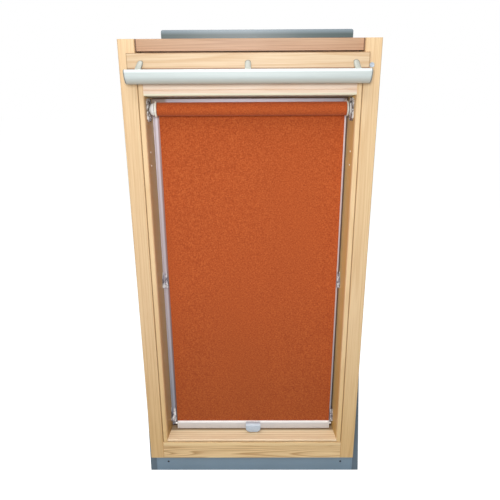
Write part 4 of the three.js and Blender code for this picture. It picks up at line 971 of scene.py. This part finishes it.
def plug_mesh(word, side):
    low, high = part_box(f"roller_plug_{word}")
    if side < 0:
        profile = [(r, h if h < 1 else h + PLUG_BULGE) for r, h in PLUG_DISC]
        profile += PLUG_PIN
    else:
        profile = PLUG_DISC + PLUG_BORE
    scale = (high.z - low.z) / 2 / PLUG_RADIUS
    centre = (end_of(roller_low, roller_high, side), ROLLER_DEPTH, ROLLER_HEIGHT)
    disc = turned([(r * scale, h * MM) for r, h in profile], centre, (side, 0, 0), 64)
    rib_outline = rounded_outline(RIB_LENGTH * MM, RIB_WIDTH * MM, 0.4 * MM, 2)
    ribs = []
    for k in range(PLUG_RIBS):
        angle = 2 * math.pi * k / PLUG_RIBS
        across = Vector((0, math.cos(angle), math.sin(angle)))
        up = Vector((0, -math.sin(angle), math.cos(angle)))
        spot = Vector(centre) + across * RIB_RADIUS * MM + Vector((side * RIB_RISE * MM, 0, 0))
        ribs.append(slab(rib_outline, spot, across, up, (side, 0, 0), 0.7 * MM, 0.2 * MM))
    return together(disc, *ribs)


for word, side in SIDES:
    node = f"roller_plug_{word}"
    plug = plug_mesh(word, side)
    add_piece(f"roller_end_{word}", plug, WHITE_PLASTIC, "roller", [node])


# The flared side walls of the recess
RECESS_HALF = 323 * MM
RECESS_DEPTH = 72 * MM
WALL_FLARE = 12 * MM


class Wall:
    """A side wall of the recess: where it is at a depth, and its directions."""

    def __init__(self, side):
        lean = WALL_FLARE / RECESS_DEPTH
        self.side = side
        self.inward = Vector((-side, -lean, 0)).normalized()
        self.back = Vector((-side * lean, 1, 0)).normalized()
        self.up = Vector(UP)

    def spot(self, depth, height, off=SEAT_GAP):
        """A point on the wall, depth behind the room face, held off by the seat gap."""
        x = self.side * (RECESS_HALF - WALL_FLARE * depth / RECESS_DEPTH)
        return Vector((x, ROOM_FACE + depth, height)) + self.inward * off

    def plate(self, outline, place, thickness, edge):
        """A plate that lies along the wall."""
        return slab(outline, place, self.back, self.up, self.inward, thickness, edge)


BRACKET_THICKNESS = 2.3 * MM
BRACKET_WIDTH = 41 * MM
BRACKET_CORNER = 10 * MM
BRACKET_SCREW_RISE = 28 * MM

# The raised part of the shell: its width and corners, and how much shorter than the plate it is
RAISED_WIDTH = 34 * MM
RAISED_CORNER = 8 * MM
RAISED_MARGIN = 8 * MM

# Dark patches of painted shade in the bracket's slots, as how far above the middle they lie, and how wide and
# how tall they are
BRACKET_SHADE_PATCHES = ((27 * MM, 13 * MM, 19 * MM), (4 * MM, 22 * MM, 9 * MM), (-29 * MM, 17 * MM, 12 * MM))

# The dome over the roller's end, as shares of its radius and of its reach from the wall
DOME_RADIUS = 20 * MM
BRACKET_DOME = (
    (0.34, 0.14), (0.36, 0.2), (0.5, 0.24), (0.66, 0.32), (0.8, 0.44), (0.9, 0.58),
    (0.96, 0.74), (0.99, 0.88), (1.0, 0.96), (0.97, 1.0),
)
DOME_BORES = {"left": 2.9 * MM, "right": 4.6 * MM}


def ring_mesh(place, out, inner, outer, height):
    """A low ring with rounded shoulders, standing on place."""
    shoulder = 0.25 * (outer - inner)
    profile = [
        (outer, 0), (outer, height - shoulder), (outer - shoulder, height),
        (inner + shoulder, height), (inner, height - shoulder), (inner, 0),
    ]
    return turned(profile, place, out, 36)


def dome_mesh(word, side, wall_x, reach):
    """The white dome that hides the roller's end, with the bore for its pin or shaft."""
    bore = DOME_BORES[word]
    profile = [(DOME_RADIUS * across, reach * up) for across, up in BRACKET_DOME]
    profile += [
        (0.8 * DOME_RADIUS, reach - 0.7 * MM), (bore + 3 * MM, reach - 0.8 * MM),
        (bore + 0.5 * MM, reach), (bore, reach - 0.6 * MM), (bore, 3.6 * MM),
    ]
    return turned(profile, (wall_x, ROLLER_DEPTH, ROLLER_HEIGHT), (-side, 0, 0), 56)


def bracket_meshes(word, side):
    """A bracket's clear shell, its dome, dark patches of painted shade in its slots, and its screws."""
    low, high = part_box(f"blind_bracket_{word}")
    wall = Wall(side)
    depth = ROLLER_DEPTH - ROOM_FACE
    middle = (low.z + high.z) / 2
    base = wall.spot(depth, middle)
    face = BRACKET_THICKNESS * wall.inward
    outline = rounded_outline(BRACKET_WIDTH, high.z - low.z - 2 * SEAT_GAP, BRACKET_CORNER, 8)
    plate = wall.plate(outline, base, BRACKET_THICKNESS, 0.9 * MM)
    outline = rounded_outline(RAISED_WIDTH, high.z - low.z - RAISED_MARGIN, RAISED_CORNER, 8)
    raised = wall.plate(outline, base + face, 0.9 * MM, 0.7 * MM)
    wall_x = wall.spot(depth, middle, 0).x
    dome = dome_mesh(word, side, wall_x, abs(wall_x - end_of(low, high, -side)) - 0.1 * MM)
    front = base + face + 0.8 * MM * wall.inward
    shade_patches = []
    for rise, wide, tall in BRACKET_SHADE_PATCHES:
        outline = rounded_outline(wide, tall, 0.45 * tall, 5)
        shade_patches.append(wall.plate(outline, front + wall.up * rise, 0.5 * MM, 0.3 * MM))
    rings, screws = [], []
    for rise in (-BRACKET_SCREW_RISE, BRACKET_SCREW_RISE):
        spot = front + wall.up * rise
        rings.append(ring_mesh(spot, wall.inward, 3.6 * MM, 5.4 * MM, 1.2 * MM))
        screws.append(screw_head(spot, wall.inward, 3.2 * MM))
    return together(plate, raised, *rings), dome, together(*shade_patches), together(*screws)


for word, side in SIDES:
    shell, dome, shade_patches, screws = bracket_meshes(word, side)
    node = f"blind_bracket_{word}"
    add_piece(f"bracket_{word}", shell, CLEAR_PLASTIC, "sash", [node], sharp=40.0)
    add_piece(f"bracket_dome_{word}", dome, BRIGHT_PLASTIC, "sash", [node], sharp=40.0)
    # The dark patches are painted shade, in the black seal's finish
    add_piece(f"bracket_shade_patches_{word}", shade_patches, RUBBER, "sash")
    add_piece(f"bracket_screws_{word}", screws, STEEL, "sash")


# Claws: a thin plate on the wall, and a ramp that widens downward to the foot which stops the bar's pin.
# A section is a share of the height, the ramp's start and stop across, and its share of the depth.
CLAW_SECTIONS = (
    (0.0, 0.0, 0.86, 0.9), (0.03, 0.0, 0.9, 1.0), (0.25, 0.04, 0.92, 0.98), (0.4, 0.14, 0.9, 0.92),
    (0.6, 0.3, 0.86, 0.8), (0.8, 0.42, 0.8, 0.66), (0.95, 0.48, 0.76, 0.55), (1.0, 0.53, 0.7, 0.46),
)
CLAW_CHAMFER = 0.8 * MM

# The screws of a claw: a rise or a share of the height, then the share across it and the radius
LOWER_SCREW_RISE = 12 * MM
UPPER_SCREW_SHARE = 0.9
LOWER_SCREW = (0.5, 2.5 * MM)
UPPER_SCREW = (0.62, 1.1 * MM)


def claw_meshes(node, side):
    """A claw's plate and ramp, its two screws and their washers."""
    low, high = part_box(node)
    wall = Wall(side)
    wall_here = wall.spot(high.y - ROOM_FACE, low.z).x
    reach = abs(wall_here - end_of(low, high, -side))
    tall = high.z - low.z
    deep = high.y - low.y - 1.5 * MM
    rings = []
    for share, start, stop, thick in CLAW_SECTIONS:
        front = high.y - thick * deep
        near, far = start * reach, stop * reach
        corners = [
            (near, high.y), (far, high.y), (far, front + CLAW_CHAMFER), (far - CLAW_CHAMFER, front),
            (near + CLAW_CHAMFER, front), (near, front + CLAW_CHAMFER),
        ]
        z = low.z + share * tall
        rings.append([Vector((wall_here - side * across, y, z)) for across, y in corners])
    plate_place = wall.spot((low.y + high.y) / 2 - ROOM_FACE, low.z + tall / 2)
    half = (high.y - low.y - 2 * SEAT_GAP) / 2
    rise = tall / 2 - SEAT_GAP
    outline = [
        (-half, -rise), (half, -rise), (half, rise),
        (0.6 * half, rise), (-0.5 * half, 0.3 * rise), (-half, -0.2 * rise),
    ]
    shell = together(lofted(rings), wall.plate(outline, plate_place, 1.4 * MM, 0.5 * MM))
    screws, washers = [], []
    places = ((LOWER_SCREW_RISE, LOWER_SCREW), (UPPER_SCREW_SHARE * tall, UPPER_SCREW))
    for height, (across, radius) in places:
        front = next(thick for share, _, _, thick in CLAW_SECTIONS if share >= height / tall)
        seat = Vector((wall_here - side * across * reach, high.y - (front - 0.02) * deep, low.z + height))
        washers.append(ring_mesh(seat, TO_ROOM, radius * 0.9, radius * 1.45, 0.6 * MM))
        screws.append(screw_head(seat, TO_ROOM, radius))
    return shell, together(*screws), together(*washers)


for word, side in SIDES:
    for level in ("bottom", "middle"):
        node = f"claw_{level}_{word}"
        shell, screws, washers = claw_meshes(node, side)
        add_piece(f"hook_{level}_{word}", shell, CLAW_PLASTIC, "sash", [node], sharp=25.0)
        add_piece(f"hook_screws_{level}_{word}", screws, BRIGHT_PLASTIC, "sash")
        add_piece(f"hook_washers_{level}_{word}", washers, DARK_STEEL, "sash")


# A dark brown strip along the top of the recess, where the glazing bead meets the rail: a painted shadow
# under the rail
SHADOW_STRIP_FOOT = 1338 * MM
SHADOW_STRIP_TOP = 1353.5 * MM
SHADOW_STRIP_HALF = 310 * MM
bead_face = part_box("glazing_bead_top")[0].y
shadow_strip_place = (0, bead_face - 0.1 * MM, (SHADOW_STRIP_FOOT + SHADOW_STRIP_TOP) / 2)
shadow_strip = room_strip(2 * SHADOW_STRIP_HALF, SHADOW_STRIP_TOP - SHADOW_STRIP_FOOT, 0.8 * MM, shadow_strip_place, 1.4 * MM, 0.6 * MM)
add_piece("rail_shadow_strip", shadow_strip, RAIL_SHADOW_STRIP_FINISH, "sash")


# Two small plugs in each side wall below the bracket
WALL_PLUG_HEIGHTS = (1177 * MM, 1134 * MM)
WALL_PLUG_DEPTH = 30 * MM
WALL_PLUG_PROFILE = ((2.6, 0.0), (2.6, 0.5), (2.1, 1.0), (1.2, 1.2), (1.0, 0.9), (0.2, 0.9))

for word, side in SIDES:
    wall = Wall(side)
    spots = [wall.spot(WALL_PLUG_DEPTH, height, 0) for height in WALL_PLUG_HEIGHTS]
    plugs = [turned(in_mm(WALL_PLUG_PROFILE), spot, wall.inward, 20) for spot in spots]
    add_piece(f"wall_plugs_{word}", together(*plugs), WHITE_PLASTIC, "sash")


# Round plug on the right jamb: a low cap with a rolled rim and a shallow dish
JAMB_PLUG_PROFILE = (
    (7.5, 0.0), (7.5, 2.5), (7.2, 3.3), (6.4, 3.9), (5.4, 4.0), (4.6, 3.7), (2.5, 3.4), (0.3, 3.3),
)
plug_low, plug_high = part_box("jamb_plug_right")
plug_place = ((plug_low.x + plug_high.x) / 2, plug_high.y, (plug_low.z + plug_high.z) / 2)
jamb_plug = turned(in_mm(JAMB_PLUG_PROFILE), plug_place, TO_ROOM, 48)
add_piece("jamb_plug", jamb_plug, GREY_PLASTIC, "frame", ["jamb_plug_right"])


# Apron: a folded seam at each end, and a screw near each lower corner
apron_low, apron_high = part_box("apron")
SEAM_WIDTH = 5 * MM
SEAM_MARGIN = 2 * MM
APRON_SCREW_INSET = 45 * MM
APRON_SCREW_RISE = 43 * MM

for word, side in SIDES:
    edge = end_of(apron_low, apron_high, side)
    place = Vector((edge, apron_low.y, apron_low.z / 2))
    seam = room_strip(SEAM_WIDTH, -apron_low.z - SEAM_MARGIN, 1 * MM, place, 1.4 * MM, 0.8 * MM)
    add_piece(f"apron_seam_{word}", seam, LACQUER, "frame")
    spot = Vector((edge - side * APRON_SCREW_INSET, apron_low.y, apron_low.z + APRON_SCREW_RISE))
    washer = ring_mesh(spot, TO_ROOM, 1.0 * MM, 4.2 * MM, 0.7 * MM)
    head = screw_head(spot + Vector((0, -0.6 * MM, 0)), TO_ROOM, 3 * MM)
    add_piece(f"apron_screw_{word}", together(washer, head), DARK_STEEL, "frame")


# A rounded nosing along the top of the frame's sill
NOSING_HEIGHT = 13.5 * MM
NOSING_MARGIN = 1 * MM
NOSING_PINE = pine("pine_nosing", NOSING_WOOD, "x", 5.2, 0.35, 0.02)
sill_low, sill_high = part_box("frame_sill")
nosing_length = sill_high.x - sill_low.x - NOSING_MARGIN
nosing_place = ((sill_low.x + sill_high.x) / 2, sill_low.y, sill_high.z - SEAT_GAP - NOSING_HEIGHT / 2)
nosing = room_strip(nosing_length, NOSING_HEIGHT, 0.6 * MM, nosing_place, 1.6 * MM, 1 * MM)
add_piece("sill_nosing", nosing, NOSING_PINE, "frame")


# Floor and light
FLOOR_HEIGHT = apron_low.z - 1 * MM
FLOOR_REACH = 12.0
FLOOR_GLOW = 0.78
WORLD_LIGHT = 0.32


def add_floor():
    """A pale floor that the camera sees as white, with the object's soft shadow on it."""
    data = bpy.data.meshes.new("floor")
    signs = ((-1, -1), (1, -1), (1, 1), (-1, 1))
    corners = [(x * FLOOR_REACH, y * FLOOR_REACH, FLOOR_HEIGHT) for x, y in signs]
    data.from_pydata(corners, [], [(0, 1, 2, 3)])
    floor = placed("floor", data)
    tree = Finish("pale_floor")
    speck = tree.noise(40.0, 2.0)
    tone = tree.ramp(speck, (0.3, 0.66), (0.7, 0.69))
    glow = tree.node("Math", {0: tree.seen_directly(), 1: FLOOR_GLOW}, operation="MULTIPLY")
    data.materials.append(tree.set(tone, 0.9, Emission_Color=WHITE, Emission_Strength=glow.outputs[0]))


def add_area_light(name, place, target, size, power):
    data = bpy.data.lights.new(name, "AREA")
    data.shape = "RECTANGLE"
    data.size, data.size_y = size
    data.energy = power
    light = placed(name, data)
    light.location = place
    light.rotation_euler = (Vector(target) - Vector(place)).to_track_quat("-Z", "Y").to_euler()


def add_world():
    """White where the camera sees the sky, and a softer light on the object."""
    world = bpy.data.worlds.new("studio")
    bpy.context.scene.world = world
    world.use_nodes = True
    world.node_tree.nodes.clear()
    tree = Nodes(world.node_tree)
    soft, white = (
        tree.node("Background", {"Color": WHITE, "Strength": strength}).outputs[0]
        for strength in (WORLD_LIGHT, 1.0)
    )
    mix = tree.node("MixShader", {0: tree.seen_directly(), 1: soft, 2: white})
    tree.node("OutputWorld", {0: mix.outputs[0]})


add_floor()
add_world()
add_area_light("flash", place=(-0.08, -1.95, 1.72), target=(0.0, 0.0, 0.95), size=(0.5, 0.5), power=24)
add_area_light("overhead", place=(-0.4, -1.1, 3.5), target=(0.0, 0.0, 0.8), size=(1.8, 1.8), power=34)
add_area_light("behind", place=(0.9, 2.2, 2.4), target=(0.0, 0.0, 0.8), size=(1.6, 1.6), power=16)

bpy.context.scene.view_settings.view_transform = "Standard"
